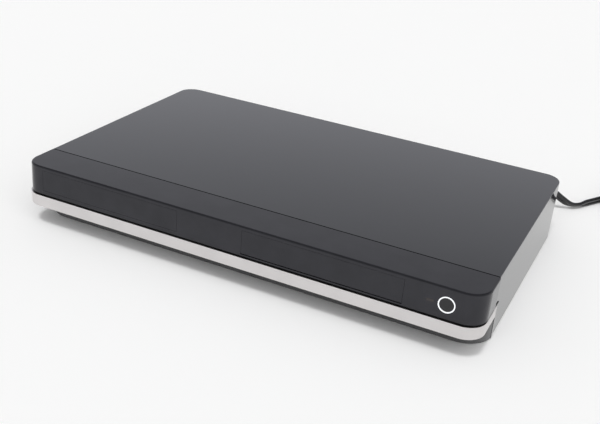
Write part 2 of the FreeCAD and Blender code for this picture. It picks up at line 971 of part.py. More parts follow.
def bay_key(x):
    """One key: its cap, the flange behind the bay's plate and its stem."""
    cap = round_y(x, key_z, key_width, key_height, key_clearance, bay_y - key_proud, bay_rear + fit + 1)
    flange_y = bay_rear + fit
    wide = key_width + 2 * key_flange
    high = key_height + 2 * key_flange
    flange = round_y(x, key_z, wide, high, 0, flange_y, flange_y + key_flange_thickness)
    stem = bar_y(key_stem, x, flange_y, switch_y - switch_gap - key_travel, key_z)
    return joined([cap, flange, stem])


def front_board():
    """The small circuit board behind the bezel, with a switch behind each key."""
    x0 = flap_left
    x1 = button_x + ring_outer + 2 * stud_radius + 1
    board = box(x0, x1, board_y, board_y + pcb, bezel_bottom + 1, bezel_ceiling - 1)
    deep = board_y + 2 * pcb
    holes = [round_y(usb_x, socket_z, usb_width + 1, usb_height + 1, 0, board_y - 1, deep)]
    holes.append(round_y(card_x, socket_z, card_width + 1, card_height + 1, 0, board_y - 1, deep))
    board = without(board, holes)
    switches = []
    for x, z in [(x, key_z) for x in key_places()] + [(button_x, button_z)]:
        w = switch_side / 2
        base = box(x - w, x + w, switch_y + 0.5, board_y, z - w, z + w)
        switches.append(base.fuse(bar_y(key_stem, x, switch_y, board_y, z)))
    return joined([board] + switches)


def usb_socket(x, y0, y1, z, mouth_in_front):
    """A flat four-contact socket: a shell that is open at one end, round a thin tongue."""
    shell = round_y(x, z, usb_width, usb_height, 0, y0, y1)
    wall = 2 * usb_shell
    room_y0 = y0 - 1 if mouth_in_front else y0 + wall
    room_y1 = y1 - wall if mouth_in_front else y1 + 1
    room = round_y(x, z, usb_width - wall, usb_height - wall, 0, room_y0, room_y1)
    tongue_z = z + usb_height / 2 - wall - usb_tongue / 2
    tongue_y0 = y0 + wall if mouth_in_front else y0 + wall / 2
    tongue_y1 = y1 - wall / 2 if mouth_in_front else y1 - wall
    tongue = round_y(x, tongue_z, usb_width - 2 * wall, usb_tongue, 0, tongue_y0, tongue_y1)
    return joined([shell.cut(room), tongue])


def card_reader():
    """The card slot's housing behind the bay's plate."""
    y1 = bay_rear + card_length
    body = round_y(card_x, socket_z, card_width, card_height, 0, bay_rear, y1)
    return body.cut(round_y(card_x, socket_z, card_slot_width, card_slot_height, 0, bay_rear - 1, y1 - 2))


def drive_base():
    """The disc drive's tub: floor, walls, ledges for the tray, bearings and gear posts."""
    x0 = drive_left + drive_wall
    x1 = drive_right - drive_wall
    inner_rear = drive_rear - drive_wall
    well = box(drive_left, drive_right, tub_y, drive_rear, drive_z, wall_top)
    deck = box(drive_left, drive_right, drive_y, tub_y + 1, deck_z, wall_top)
    well_room = box(x0, x1, tub_y + drive_floor, inner_rear, well_z, wall_top + 1)
    deck_room = box(x0, x1, drive_y + drive_wall, tub_y + drive_wall, deck_z + deck_floor, wall_top + 1)
    mouth_z = fascia_bottom - 1
    mouth = box(x0, x1, drive_y - 1, drive_y + drive_wall + 1, mouth_z, wall_top + 1)
    windows = []
    for side in (-1, 1):
        x = drive_x + side * (window_width + drive_wall) / 2
        half = window_width / 2
        windows.append(
            box(x - half, x + half, traverse_y + 2 * drive_wall, pivot_y - 4 * drive_wall, drive_z - 1, well_z + 1)
        )
    pieces = [without(well.fuse(deck), [well_room, deck_room, mouth] + windows)]
    pieces += tray_ledges()
    pieces += pivot_bearings()
    pieces += cam_guides()
    pieces.append(bar_z(axle_radius, gear_x, gear_y, well_z - 1, rack_z + gear_width - fit))
    pieces.append(bar_z(2 * axle_radius, gear_x, gear_y, well_z - 1, wheel_z - fit))
    pieces.append(bar_z(axle_radius, pulley_x, gear_y, well_z - 1, wheel_z + gear_width + 1))
    pieces.append(bar_z(2 * axle_radius, pulley_x, gear_y, well_z - 1, pulley_z - fit))
    return joined(pieces)


def tray_ledges():
    """The ledges under the tray's rails, and the short ones over them at the front."""
    rail_z = tray_z - fit
    low_top = rail_z - rail_clearance
    high = rail_z + rail_height + rail_clearance
    inner = tray_half + rail_clearance
    outer = drive_width / 2 - drive_wall / 2
    y0 = drive_y + drive_wall
    y1 = drive_rear - drive_wall / 2
    ledges = []
    for side in (-1, 1):
        x0 = drive_x + min(side * inner, side * outer)
        x1 = drive_x + max(side * inner, side * outer)
        ledges.append(box(x0, x1, y0, y1, low_top - ledge_thickness, low_top))
        ledges.append(box(x0, x1, y0, y0 + upper_ledge_length, high, high + ledge_thickness / 2))
    return ledges


def pivot_bearings():
    """The two posts that the traverse's pivot pins turn in."""
    posts = []
    for side in (-1, 1):
        inner = side * (traverse_half + cover_gap)
        outer = side * (traverse_half + cover_gap + pivot_length)
        x0 = drive_x + min(inner, outer)
        x1 = drive_x + max(inner, outer)
        half = 2 * pivot_radius
        post = box(x0, x1, pivot_y - half, pivot_y + half, well_z - 1, pivot_z + half)
        posts.append(post.cut(bar_x(pivot_radius + running_clearance, x0 - 1, x1 + 1, pivot_y, pivot_z)))
    return posts


def cam_guides():
    """The grooved blocks on the drive's floor that the cam slider runs in."""
    guides = []
    bottom = cam_z - fit
    cheek = cam_plate - cover_wall / 2
    for x in (drive_x - traverse_half, drive_x + cam_plate):
        y0 = cam_y - cheek
        y1 = cam_y + cam_plate + cheek
        body = box(x, x + 4 * cam_plate, y0, y1, well_z - 1, bottom + cheek / 2)
        groove = box(x - 1, x + 5 * cam_plate, cam_y - fit, cam_y + cam_plate + fit, bottom, bottom + cheek)
        guides.append(body.cut(groove))
    return guides


def clamp_bridge():
    """The bridge over the tray that the clamper hangs in."""
    y0 = disc_y - bridge_length / 2
    y1 = disc_y + bridge_length / 2
    plate = box(drive_left, drive_right, y0, y1, wall_top, wall_top + bridge_thickness)
    return plate.cut(bar_z(clamper_neck + clamper_clearance, drive_x, disc_y, wall_top - 1, lid_z))


def clamper():
    """The free disc that presses on the hub from above."""
    seat = wall_top + bridge_thickness + fit
    plate = bar_z(clamper_radius, drive_x, disc_y, seat, seat + clamper_plate)
    return plate.fuse(bar_z(clamper_neck, drive_x, disc_y, hub_top + clamper_gap, seat + clamper_plate / 2))


def drive_cover():
    """The drive's sheet lid, seated on the rear wall of the tub."""
    outer = box(
        drive_left - drive_lid_sheet - fit, drive_right + drive_lid_sheet + fit, drive_y + drive_wall,
        drive_rear, tray_z, lid_z + drive_lid_sheet
    )
    inner = box(drive_left - fit, drive_right + fit, drive_y - 1, drive_rear - drive_wall, tray_z - 1, lid_z)
    under = box(drive_left - fit, drive_right + fit, drive_y - 1, drive_rear + 1, tray_z - 1, wall_top)
    slots = [
        block(drive_x + i * 3 * vent_pitch, drive_rear - vent_length, vent_width, vent_length, lid_z - 1, lid_z + 2 * drive_lid_sheet) for i in (-1, 0, 1)
    ]
    return without(outer, [inner, under] + slots)


def flank_turn(pitch, radius):
    """How far an involute flank leans from its pitch point to a radius, as an angle."""
    base = pitch * math.cos(math.radians(pressure_angle))
    pressure = math.acos(base / max(radius, base))
    return math.tan(math.radians(pressure_angle)) - math.radians(pressure_angle) - math.tan(pressure) + pressure


def tooth_ring(teeth, module):
    """The plan of an involute gear about the origin, with backlash at its flanks."""
    pitch = module * teeth / 2
    step = 2 * math.pi / teeth
    half = step / 4 - tooth_clearance / pitch / 2
    radii = (
        pitch - tooth_root * module, pitch - 0.4 * module, pitch + 0.3 * module,
        pitch + module - tooth_clearance
    )
    flank = [(radius, half + flank_turn(pitch, radius)) for radius in radii]
    points = []
    for i in range(teeth):
        middle = i * step
        for radius, angle in [(r, -a) for r, a in flank] + list(reversed(flank)):
            points.append(V(radius * math.cos(middle + angle), radius * math.sin(middle + angle), 0))
    return points


def gear(teeth, module, x, y, z0, z1, turn):
    """A toothed wheel, turned so that its teeth fit the next one's gaps."""
    points = tooth_ring(teeth, module)
    points.append(points[0])
    body = Part.Face(Part.makePolygon(points)).extrude(V(0, 0, z1 - z0))
    body.rotate(V(0, 0, 0), V(0, 0, 1), turn)
    body.translate(V(x, y, z0))
    return body


def tray_gear():
    """The pinion under the tray's rack, in one with the wheel below it."""
    small = gear(
        pinion_teeth, rack_module, gear_x, gear_y, wheel_z + gear_width / 2, rack_z + gear_width - fit, 0
    )
    wheel = gear(
        wheel_teeth, wheel_module, gear_x, gear_y, wheel_z, wheel_z + gear_width, 180 + 180 / wheel_teeth
    )
    hub = bar_z(2 * axle_radius, gear_x, gear_y, wheel_z, rack_z + gear_width - fit)
    bore = bar_z(axle_radius + running_clearance, gear_x, gear_y, wheel_z - 1, rack_z + 2 * gear_width)
    return joined([small, wheel, hub]).cut(bore)


def pulley(radius, x, y, z0):
    """A pulley with a round-bottomed groove for the belt."""
    body = bar_z(radius + belt_size / 2, x, y, z0, z0 + pulley_width)
    middle = z0 + pulley_width / 2
    groove = box_ring(
        radius - belt_size / 2, radius + belt_size, x, y, middle - belt_size / 2 - fit,
        middle + belt_size / 2 + fit
    )
    return body.cut(groove)


def box_ring(inner, outer, x, y, z0, z1):
    """A flat ring about an upright axis."""
    return bar_z(outer, x, y, z0, z1).cut(bar_z(inner, x, y, z0 - 1, z1 + 1))


def pulley_gear():
    """The driven pulley, in one with the pinion that turns the wheel."""
    small = gear(
        drive_pinion_teeth, wheel_module, pulley_x, gear_y, pulley_z + pulley_width, wheel_z + gear_width,
        0
    )
    wheel = pulley(pulley_radius, pulley_x, gear_y, pulley_z)
    bore = bar_z(axle_radius + running_clearance, pulley_x, gear_y, pulley_z - 1, wheel_z + 2 * gear_width)
    return joined([small, wheel]).cut(bore)


def motor_pulley():
    """The small pulley on the tray motor's shaft."""
    wheel = pulley(motor_pulley_radius, tray_motor_x, gear_y, pulley_z)
    return wheel.cut(bar_z(shaft_radius, tray_motor_x, gear_y, pulley_z - 1, pulley_z + 2 * pulley_width))


def tray_belt():
    """The square belt round both pulleys."""
    middle = pulley_z + pulley_width / 2
    z0 = middle - belt_size / 2
    z1 = middle + belt_size / 2
    inside = fit - belt_size / 2
    outside = fit + belt_size / 2
    return belt_band(outside, z0, z1).cut(belt_band(inside, z0 - 1, z1 + 1))


def belt_band(more, z0, z1):
    """The hull of two circles that are larger than the pulleys' belt lines."""
    big = pulley_radius + more
    small = motor_pulley_radius + more
    length = pulley_x - tray_motor_x
    lean = math.acos((big - small) / length)
    c = math.cos(lean)
    s = math.sin(lean)
    x0 = tray_motor_x
    x1 = pulley_x
    y = gear_y
    a = V(x0 - small * c, y + small * s, z0)
    b = V(x1 - big * c, y + big * s, z0)
    d = V(x1 - big * c, y - big * s, z0)
    e = V(x0 - small * c, y - small * s, z0)
    edges = [Part.LineSegment(a, b).toShape(), Part.Arc(b, V(x1 + big, y, z0), d).toShape()]
    edges += [Part.LineSegment(d, e).toShape(), Part.Arc(e, V(x0 - small, y, z0), a).toShape()]
    return Part.Face(Part.Wire(edges)).extrude(V(0, 0, z1 - z0))


def tray_motor():
    """The motor under the belt, on the drive's floor, with its shaft."""
    can = bar_z(tray_motor_radius, tray_motor_x, gear_y, well_z, well_z + tray_motor_height)
    return can.fuse(bar_z(shaft_radius, tray_motor_x, gear_y, well_z + 1, pulley_z + pulley_width))


def disc_tray():
    """The sliding tray with its two disc recesses, open slot, side rails and rack."""
    plate = box(drive_x - tray_half, drive_x + tray_half, tray_y, tray_rear, tray_z, tray_top)
    slot_half = tray_slot_width / 2
    recess = bar_z(disc_radius, drive_x, disc_y, tray_top - recess_depth, tray_top + 1)
    deep = tray_top - recess_depth - small_recess_depth
    small = bar_z(small_disc_radius, drive_x, disc_y, deep, tray_top)
    end = bar_z(slot_half, drive_x, disc_y, tray_z - 1, tray_top + 1)
    slot = box(drive_x - slot_half, drive_x + slot_half, disc_y, tray_rear + 1, tray_z - 1, tray_top + 1)
    rails = []
    rail_z = tray_z - fit
    for side in (-1, 1):
        x0 = drive_x + min(side * (tray_half - 1), side * (tray_half + rail_width))
        x1 = drive_x + max(side * (tray_half - 1), side * (tray_half + rail_width))
        rails.append(box(x0, x1, drive_y + drive_wall + fit, tray_rear, rail_z, rail_z + rail_height))
    return without(joined([plate, tray_rack()] + rails), [recess, small, end, slot])


def tray_rack():
    """The rack under the tray, with its teeth towards the gear."""
    pitch = math.pi * rack_module
    teeth = int((tray_rear - front_y - rack_start) / pitch)
    half = pitch / 4 - tooth_clearance / 2
    spread = rack_module * math.tan(math.radians(pressure_angle))
    root = rack_x + tooth_root * rack_module
    tip = rack_x - rack_module + tooth_clearance
    first = gear_y - int((gear_back - rack_start) / pitch) * pitch + pitch / 2
    points = [
        V(root + rack_back - tooth_root * rack_module, first - pitch / 2, rack_z),
        V(root, first - pitch / 2, rack_z)
    ]
    for i in range(teeth):
        y = first + i * pitch
        if y + pitch / 2 > tray_rear:
            break
        points += [V(root, y - half - tooth_root * spread, rack_z), V(tip, y - half + spread, rack_z)]
        points += [V(tip, y + half - spread, rack_z), V(root, y + half + tooth_root * spread, rack_z)]
        last = y + pitch / 2
    points += [V(root, last, rack_z), V(root + rack_back - tooth_root * rack_module, last, rack_z), points[0]]
    return Part.Face(Part.makePolygon(points)).extrude(V(0, 0, rack_depth + 1))


def tray_fascia():
    """The tray's front, flush with the bezel."""
    x0 = drive_x - fascia_width / 2
    x1 = drive_x + fascia_width / 2
    return box(x0, x1, front_y, front_y + bezel_wall, fascia_bottom, opening_top - fascia_gap)


def cam_slider():
    """The plate whose slanted slot lowers the front of the traverse."""
    x0 = drive_x - traverse_half + cam_plate
    plate = box(x0, x0 + cam_length, cam_y, cam_y + cam_plate, cam_z, cam_z + cam_height)
    drop = (pivot_back - cam_back) * math.sin(math.radians(traverse_drop))
    radius = cam_pin + cam_clearance
    ends = []
    for x, z in ((drive_x, pivot_z), (drive_x + cam_travel, pivot_z - drop)):
        ends.append(V(x, cam_y - 1, z))
    along = ends[1] - ends[0]
    along.normalize()
    up = V(-along.z, 0, along.x) * radius
    a, b = ends
    edges = [
        Part.LineSegment(a + up, b + up).toShape(), Part.Arc(b + up, b + along * radius, b - up).toShape()
    ]
    edges += [
        Part.LineSegment(b - up, a - up).toShape(), Part.Arc(a - up, a - along * radius, a + up).toShape()
    ]
    slot = Part.Face(Part.Wire(edges)).extrude(V(0, cam_plate + 2, 0))
    return plate.cut(slot)


def traverse_frame():
    """The hinged plate with its pivot pins, cam pin, rod blocks and screw bearing."""
    y1 = pivot_y + pivot_radius + 1
    plate = box(drive_x - traverse_half, drive_x + traverse_half, traverse_y, y1, traverse_z, traverse_top)
    window = block(
        drive_x, sled_y + sled_travel / 2, window_width, sled_travel + sled_gap, traverse_z - 1,
        traverse_top + 1
    )
    reach = traverse_half + cover_gap + pivot_length
    pins = [bar_x(pivot_radius, drive_x - reach, drive_x + reach, pivot_y, pivot_z)]
    pins.append(bar_y(cam_pin, drive_x, cam_y - 1, traverse_y + 2, pivot_z))
    pieces = [plate.cut(window)] + pins
    for x in (drive_x - rod_half_gap, drive_x + rod_half_gap):
        for y in rod_block_places():
            pieces.append(block(x, y, rod_block, rod_block, traverse_top - 1, rod_z + rod_radius + 1))
    bearing_y = feed_front() - rod_block / 2
    pieces.append(block(feed_x, bearing_y, rod_block, rod_block, traverse_top - 1, feed_z + screw_thread + 1))
    rods = [
        bar_y(rod_radius, x, traverse_y, y1, rod_z) for x in (drive_x - rod_half_gap, drive_x + rod_half_gap)
    ]
    hole = bar_y(shaft_radius + running_clearance, feed_x, bearing_y - rod_block, feed_front() + 1, feed_z)
    return without(joined(pieces), rods + [hole])


def rod_block_places():
    """The Y places of the blocks that hold the guide rods."""
    first = disc_y - rod_block
    last = pivot_y - rod_block
    return (first, last)


def feed_front():
    """Where the thread of the feed screw begins."""
    return sled_y - sled_length / 2 - 1


def sled_rods():
    """The two guide rods of the laser sled."""
    first, last = rod_block_places()
    half = rod_block / 2
    return together(
        [bar_y(rod_radius, x, first - half, last + half, rod_z) for x in (drive_x - rod_half_gap, drive_x + rod_half_gap)]
    )


def sled_screw():
    """The feed screw between its bearing and its motor."""
    y0 = feed_front() + fit
    y1 = feed_motor_y - fit
    thread = bar_y(screw_thread, feed_x, y0, y1, feed_z)
    grooves = []
    pitch = 2 * screw_thread
    for i in range(1, int((y1 - y0) / pitch)):
        y = y0 + i * pitch
        ring = bar_y(2 * screw_thread, feed_x, y, y + screw_thread / 2, feed_z)
        grooves.append(ring.cut(bar_y(screw_thread * 0.8, feed_x, y - 1, y + screw_thread, feed_z)))
    front = bar_y(shaft_radius, feed_x, y0 - rod_block + 1, y0 + 1, feed_z)
    rear = bar_y(shaft_radius, feed_x, y1 - 1, feed_motor_y + 2, feed_z)
    return joined([without(thread, grooves), front, rear])


def sled_motor():
    """The motor at the rear end of the feed screw."""
    can = bar_y(sled_motor_radius, feed_x, feed_motor_y, feed_motor_y + sled_motor_length, feed_z)
    foot = box(
        feed_x - sled_motor_radius, feed_x + sled_motor_radius, feed_motor_y,
        feed_motor_y + sled_motor_length, traverse_top, feed_z - sled_motor_radius / 2
    )
    bore = bar_y(shaft_radius + running_clearance, feed_x, feed_motor_y - 1, feed_motor_y + 3, feed_z)
    return can.fuse(foot).cut(bore)


def laser_sled():
    """The carriage on the rods, with its turret and its follower on the screw."""
    body = block(drive_x, sled_y, 2 * sled_half, sled_length, sled_z, sled_top)
    turret = block(drive_x, sled_y, turret_side, turret_side, sled_top - 1, sled_top + turret_height)
    arm = box(
        drive_x, feed_x + 2 * screw_thread, sled_y - rod_block / 2, sled_y + rod_block / 2,
        feed_z - screw_thread, sled_top
    )
    y0 = sled_y - sled_length
    y1 = sled_y + sled_length
    round_hole = bar_y(rod_radius + running_clearance, drive_x - rod_half_gap, y0, y1, rod_z)
    room = rod_radius + running_clearance
    x1 = drive_x + rod_half_gap
    open_hole = box(x1 - room, drive_x + sled_half + 1, y0, y1, rod_z - room, rod_z + room)
    screw_hole = bar_y(screw_thread + 2 * running_clearance, feed_x, y0, y1, feed_z)
    notch = bar_z(spindle_motor_radius + sled_gap, drive_x, disc_y, sled_z - 1, sled_top + 1)
    return without(joined([body, turret, arm]), [round_hole, open_hole, screw_hole, notch])


def objective_lens():
    """The small lens in its holder on top of the turret."""
    z0 = sled_top + turret_height + lens_travel + fit
    wide = turret_side - 2 * holder_gap
    deep = turret_side - 2 * holder_step
    holder = block(drive_x, sled_y, wide, deep, z0, z0 + holder_thickness)
    return holder.fuse(bar_z(lens_radius, drive_x, sled_y, z0, z0 + lens_thickness))


def spindle_motor():
    """The flat motor under the turntable, with its stub shaft."""
    top = traverse_top + spindle_motor_height
    return bar_z(spindle_motor_radius, drive_x, disc_y, traverse_top, top).fuse(
        bar_z(axle_radius, drive_x, disc_y, top - 1, table_top)
    )


def turntable():
    """The turntable with its centring hub, on the spindle's shaft."""
    plate = bar_z(turntable_radius, drive_x, disc_y, table_z, table_top)
    hub = bar_z(hub_radius, drive_x, disc_y, table_z, hub_top)
    hub = round_top(hub, hub_top, hub_height / 2, lambda c: True)
    bore = bar_z(axle_radius + running_clearance, drive_x, disc_y, table_z - 1, table_top + fit)
    return plate.fuse(hub).cut(bore)


def hard_drive():
    """The hard drive: a closed case with a raised lid."""
    y1 = hdd_y + hdd_length
    case = box(hdd_left, hdd_right, hdd_y, y1, hdd_z, hdd_z + hdd_height - 2 * sheet)
    inset = 2 * sheet
    lid = slab_between(
        hdd_left + inset, hdd_right - inset, hdd_y + inset, y1 - inset, 4 * inset, hdd_z + 1,
        hdd_z + hdd_height
    )
    return case.fuse(lid)


def slab_between(x0, x1, y0, y1, radius, z0, z1):
    """An upright slab between two corners, with all four upright edges rounded."""
    return prism([(x0, y0, radius), (x1, y0, radius), (x1, y1, radius), (x0, y1, radius)], z0, z1)


def hdd_bracket():
    """The folded bracket that holds the hard drive over the chassis."""
    x0 = hdd_left - fit - sheet
    x1 = hdd_right + fit + sheet
    y1 = hdd_y + hdd_length
    pieces = [box(x0, x1, hdd_y, y1, hdd_z - sheet, hdd_z)]
    for x in (x0, hdd_right + fit):
        pieces.append(box(x, x + sheet, hdd_y, y1, hdd_z - sheet, hdd_z + bracket_wall_height))
    leg = 2 * post_radius
    for x in (hdd_left + leg, hdd_right - leg):
        for y in (hdd_y + leg, y1 - leg):
            pieces.append(block(x, y, leg, leg, floor_z, hdd_z - sheet / 2))
    return joined(pieces)


def stud_screws(places):
    """Screws that hold a board on its studs."""
    return [bar_z(stud_radius, x, y, board_top, board_top + sheet) for x, y in places]


def main_board():
    """The main circuit board with its chips and the screws on its studs."""
    board = box(main_left, main_right, main_y, main_rear, board_z, board_top)
    pieces = [
        board, block(sink_x(), sink_y(), chip_side, chip_side, board_top - fit, board_top + chip_height)
    ]
    chip_top = board_top + small_chip_height
    for i in range(small_chip_count):
        x = main_left + hdmi_place + i * small_chip_pitch
        y = main_y + small_chip_place
        pieces.append(block(x, y, small_chip_width, small_chip_length, board_top - fit, chip_top))
    pieces += stud_screws([p for p in board_studs() if p[0] < power_left])
    return joined(pieces)


def sink_x():
    """The middle of the heat sink along the width."""
    return main_left + sink_place


def sink_y():
    """The middle of the heat sink along the depth."""
    return main_rear - socket_length / 2 - sink_side / 2


def heat_sink():
    """The finned block on the main chip."""
    z0 = board_top + chip_height
    w = sink_side / 2
    pieces = [block(sink_x(), sink_y(), sink_side, sink_side, z0, z0 + sink_base)]
    pitch = (sink_side - sink_fin) / (sink_fins - 1)
    for i in range(sink_fins):
        x = sink_x() - w + i * pitch
        pieces.append(
            box(x, x + sink_fin, sink_y() - w, sink_y() + w, z0 + sink_base - 0.5, z0 + sink_height)
        )
    return joined(pieces)


def tuner_x():
    """The middle of the tuner can along the width."""
    return main_left + tuner_place


def aerial_z():
    """The height of the aerial sockets."""
    return board_top + aerial_rise


def aerial_places():
    """The X places of the aerial sockets on the tuner can."""
    return [tuner_x() + (i - (aerial_count - 1) / 2) * aerial_pitch for i in range(aerial_count)]


def tuner_can():
    """The closed metal can of the tuners, with a raised rim on its lid."""
    y0 = main_rear - tuner_length
    can = box(
        tuner_x() - tuner_width / 2, tuner_x() + tuner_width / 2, y0, main_rear, board_top,
        board_top + tuner_height
    )
    rim = box_frame(
        tuner_x(), (y0 + main_rear) / 2, tuner_width, tuner_length, sheet, board_top + tuner_height - 0.5,
        sheet
    )
    return can.fuse(rim)


def box_frame(x, y, width, length, wall, z0, height):
    """A low rectangular rim."""
    outer = block(x, y, width, length, z0, z0 + height)
    return outer.cut(block(x, y, width - 2 * wall, length - 2 * wall, z0 - 1, z0 + height + 1))


def aerial_sockets():
    """The threaded aerial sockets that stand out through the rear panel."""
    sockets = []
    for x in aerial_places():
        end = overall_depth / 2
        barrel = bar_y(aerial_radius, x, main_rear, end, aerial_z())
        bore = bar_y(aerial_bore, x, end - aerial_bore_depth, end + 1, aerial_z())
        contact = bar_y(
            aerial_pin, x, end - aerial_bore_depth - aerial_pin, end - aerial_pin_drop, aerial_z()
        )
        grooves = []
        for i in range(thread_count):
            y = end - thread_start - i * thread_pitch
            ring = bar_y(aerial_radius + 1, x, y - thread_width, y, aerial_z())
            grooves.append(ring.cut(bar_y(aerial_radius - thread_width, x, y - 1, y + 1, aerial_z())))
        sockets.append(without(barrel, [bore] + grooves).fuse(contact))
    return together(sockets)


def hdmi_socket():
    """The display socket on the main board, with its thin tongue."""
    x = main_left + hdmi_place
    z = board_top + hdmi_height / 2
    y0 = panel_y - socket_length
    low = hdmi_width / 2 - hdmi_height / 3
    w = hdmi_width / 2
    h = hdmi_height / 2
    corners = [
        (x - low, z - h, 0), (x + low, z - h, 0), (x + w, z - h / 3, 0), (x + w, z + h, 0),
        (x - w, z + h, 0), (x - w, z - h / 3, 0)
    ]
    body = prism_y(corners, y0, panel_y)
    room = round_y(
        x, z + usb_shell / 2, hdmi_width - 4 * usb_shell, hdmi_height - 3 * usb_shell, 0, y0 + 4,
        panel_y + 1
    )
    tongue = round_y(x, z, hdmi_width - 8 * usb_shell, usb_shell * 2, 0, y0 + 3, panel_y - 1)
    return body.cut(room).fuse(tongue)


def lan_socket():
    """The square network socket with its stepped mouth."""
    x = main_left + lan_place
    z = board_top + lan_height / 2
    y0 = panel_y - socket_length
    body = round_y(x, z, lan_side, lan_height, 0, y0, panel_y)
    room = round_y(x, z, lan_hole_width, lan_hole_height, 0, y0 + 3, panel_y + 1)
    latch = round_y(x, z - lan_hole_height / 2, lan_hole_width / 2, 3.0, 0, y0 + 3, panel_y + 1)
    return without(body, [room, latch])


def power_board():
    """The mains board on its studs."""
    board = box(power_left, power_right, power_y, power_rear, board_z, board_top)
    return joined([board] + stud_screws([p for p in board_studs() if p[0] >= power_left]))


def power_parts():
    """The transformer, capacitors and coil that stand on the mains board."""
    x = (power_left + power_right) / 2
    y = (power_y + power_rear) / 2
    w = transformer_side / 2
    core = block(x, y, transformer_side, transformer_side, board_top, board_top + core_height)
    winding = block(x, y, winding_width, winding_length, board_top, board_top + transformer_height)
    pieces = [core.fuse(winding)]
    top = board_top + capacitor_height
    pieces.append(
        bar_z(capacitor_radius, power_left + capacitor_side, y + w + capacitor_step, board_top, top)
    )
    small_x = power_left + small_capacitor_side
    small_top = board_top + small_capacitor_height
    for i in range(small_capacitor_count):
        small_y = y - w - small_capacitor_step - i * small_capacitor_pitch
        pieces.append(bar_z(small_capacitor_radius, small_x, small_y, board_top, small_top))
    pieces.append(block(power_right - fin_side, y - w / 2, fin_thickness, fin_length, board_top, top))
    choke_x = power_right - choke_side
    choke_y = y + w + choke_step
    pieces.append(box_ring(choke_bore, choke_radius, choke_x, choke_y, board_top, board_top + choke_height))
    return together(pieces)


def fan_frame():
    """The fan's square frame with its spokes, hub and pin."""
    half = fan_side / 2
    body = round_y(fan_x, fan_z, fan_side, fan_side, fan_corner, fan_y, panel_in)
    bore = bar_y(half - fan_wall, fan_x, fan_y - 1, panel_in + 1, fan_z)
    frame = body.cut(bore)
    back = panel_in - fan_spoke
    pieces = [frame, bar_y(fan_hub, fan_x, back, panel_in, fan_z)]
    for turn in range(4):
        spoke = box(
            fan_x - fan_spoke / 2, fan_x + fan_spoke / 2, back, panel_in, fan_z,
            fan_z + half - fan_wall / 2
        )
        pieces.append(spoke.rotated(V(fan_x, 0, fan_z), V(0, 1, 0), 90 * turn + 45))
    pieces.append(bar_y(fan_pin, fan_x, fan_y + 2, panel_in - 1, fan_z))
    for sx in (-1, 1):
        leg_x = fan_x + sx * (half - fan_spoke)
        pieces.append(
            box(leg_x - fan_spoke, leg_x + fan_spoke, fan_y, panel_in - fit - 1.5 * sheet, floor_z, fan_z - half + fan_spoke)
        )
    return joined(pieces)


def fan_rotor():
    """The fan's hub and blades, on the frame's pin."""
    y0 = fan_y + 1
    y1 = panel_in - fan_spoke - fan_tip_clearance
    tip = fan_side / 2 - fan_wall - fan_tip_clearance
    hub = bar_y(fan_hub, fan_x, y0, y1, fan_z)
    pieces = [hub]
    for i in range(fan_blades):
        blade = box(
            fan_x - blade_thick / 2, fan_x + blade_thick / 2, y0 + 1, y1 - 1, fan_z + fan_hub - 2,
            fan_z + tip
        )
        middle = V(fan_x, (y0 + y1) / 2, fan_z)
        blade.rotate(middle, V(0, 0, 1), blade_pitch)
        blade.rotate(middle, V(0, 1, 0), i * 360.0 / fan_blades)
        pieces.append(blade)
    reach = bar_y(tip, fan_x, y0, y1, fan_z)
    bore = bar_y(fan_pin + running_clearance, fan_x, fan_y, panel_in, fan_z)
    return joined(pieces).common(reach).cut(bore)


def ac_inlet():
    """The mains inlet with its flange, open cavity and two pins."""
    width = inlet_width + 2 * inlet_wall
    height = inlet_height + 2 * inlet_wall
    body = round_y(inlet_x, inlet_z, width, height, 0, panel_y - inlet_depth, panel_y + inlet_flange / 2)
    flange_width = width + inlet_wall
    flange = round_y(
        inlet_x, inlet_z, flange_width, height + inlet_wall, 2.0, panel_y, panel_y + inlet_flange
    )
    radius = inlet_height / 2 - fit
    room = round_y(
        inlet_x, inlet_z, inlet_width, inlet_height, radius, panel_y - connector_in - 1,
        panel_y + 2 * inlet_flange
    )
    pins = []
    for side in (-1, 1):
        x = inlet_x + side * inlet_pin_gap / 2
        pins.append(bar_y(inlet_pin, x, panel_y - inlet_depth - 3, panel_y - 2, inlet_z))
    return joined([body, flange]).cut(room).fuse(pins[0]).fuse(pins[1])


def cord_plug():
    """The lead's connector in the inlet: its nose, its grip and the tapered strain relief."""
    nose_width = inlet_width - 2 * connector_fit
    nose_height = inlet_height - 2 * connector_fit
    nose = round_y(
        inlet_x, inlet_z, nose_width, nose_height, nose_height / 2 - fit, panel_y - connector_in,
        grip_y + 1
    )
    grip_width = nose_width + 2 * grip_swell
    grip_height = nose_height + 2 * grip_swell
    grip = round_y(inlet_x, inlet_z, grip_width, grip_height, grip_height / 2 - 2 * fit, grip_y, relief_y)
    holes = []
    for side in (-1, 1):
        x = inlet_x + side * inlet_pin_gap / 2
        holes.append(bar_y(inlet_pin + fit, x, panel_y - inlet_depth, panel_y - 1, inlet_z))
    return joined([nose, grip, strain_relief()]).cut(holes[0]).cut(holes[1])


def strain_relief():
    """The tapered sleeve between the grip and the lead."""
    big = Part.Wire(
        Part.makeCircle(inlet_height / 2 - 2 * fit, V(inlet_x, relief_y - 1, inlet_z), V(0, 1, 0))
    )
    small = Part.Wire(Part.makeCircle(cord_width / 2 + 4 * fit, lead_start, V(0, 1, 0)))
    return Part.makeLoft([big, small], True, True)


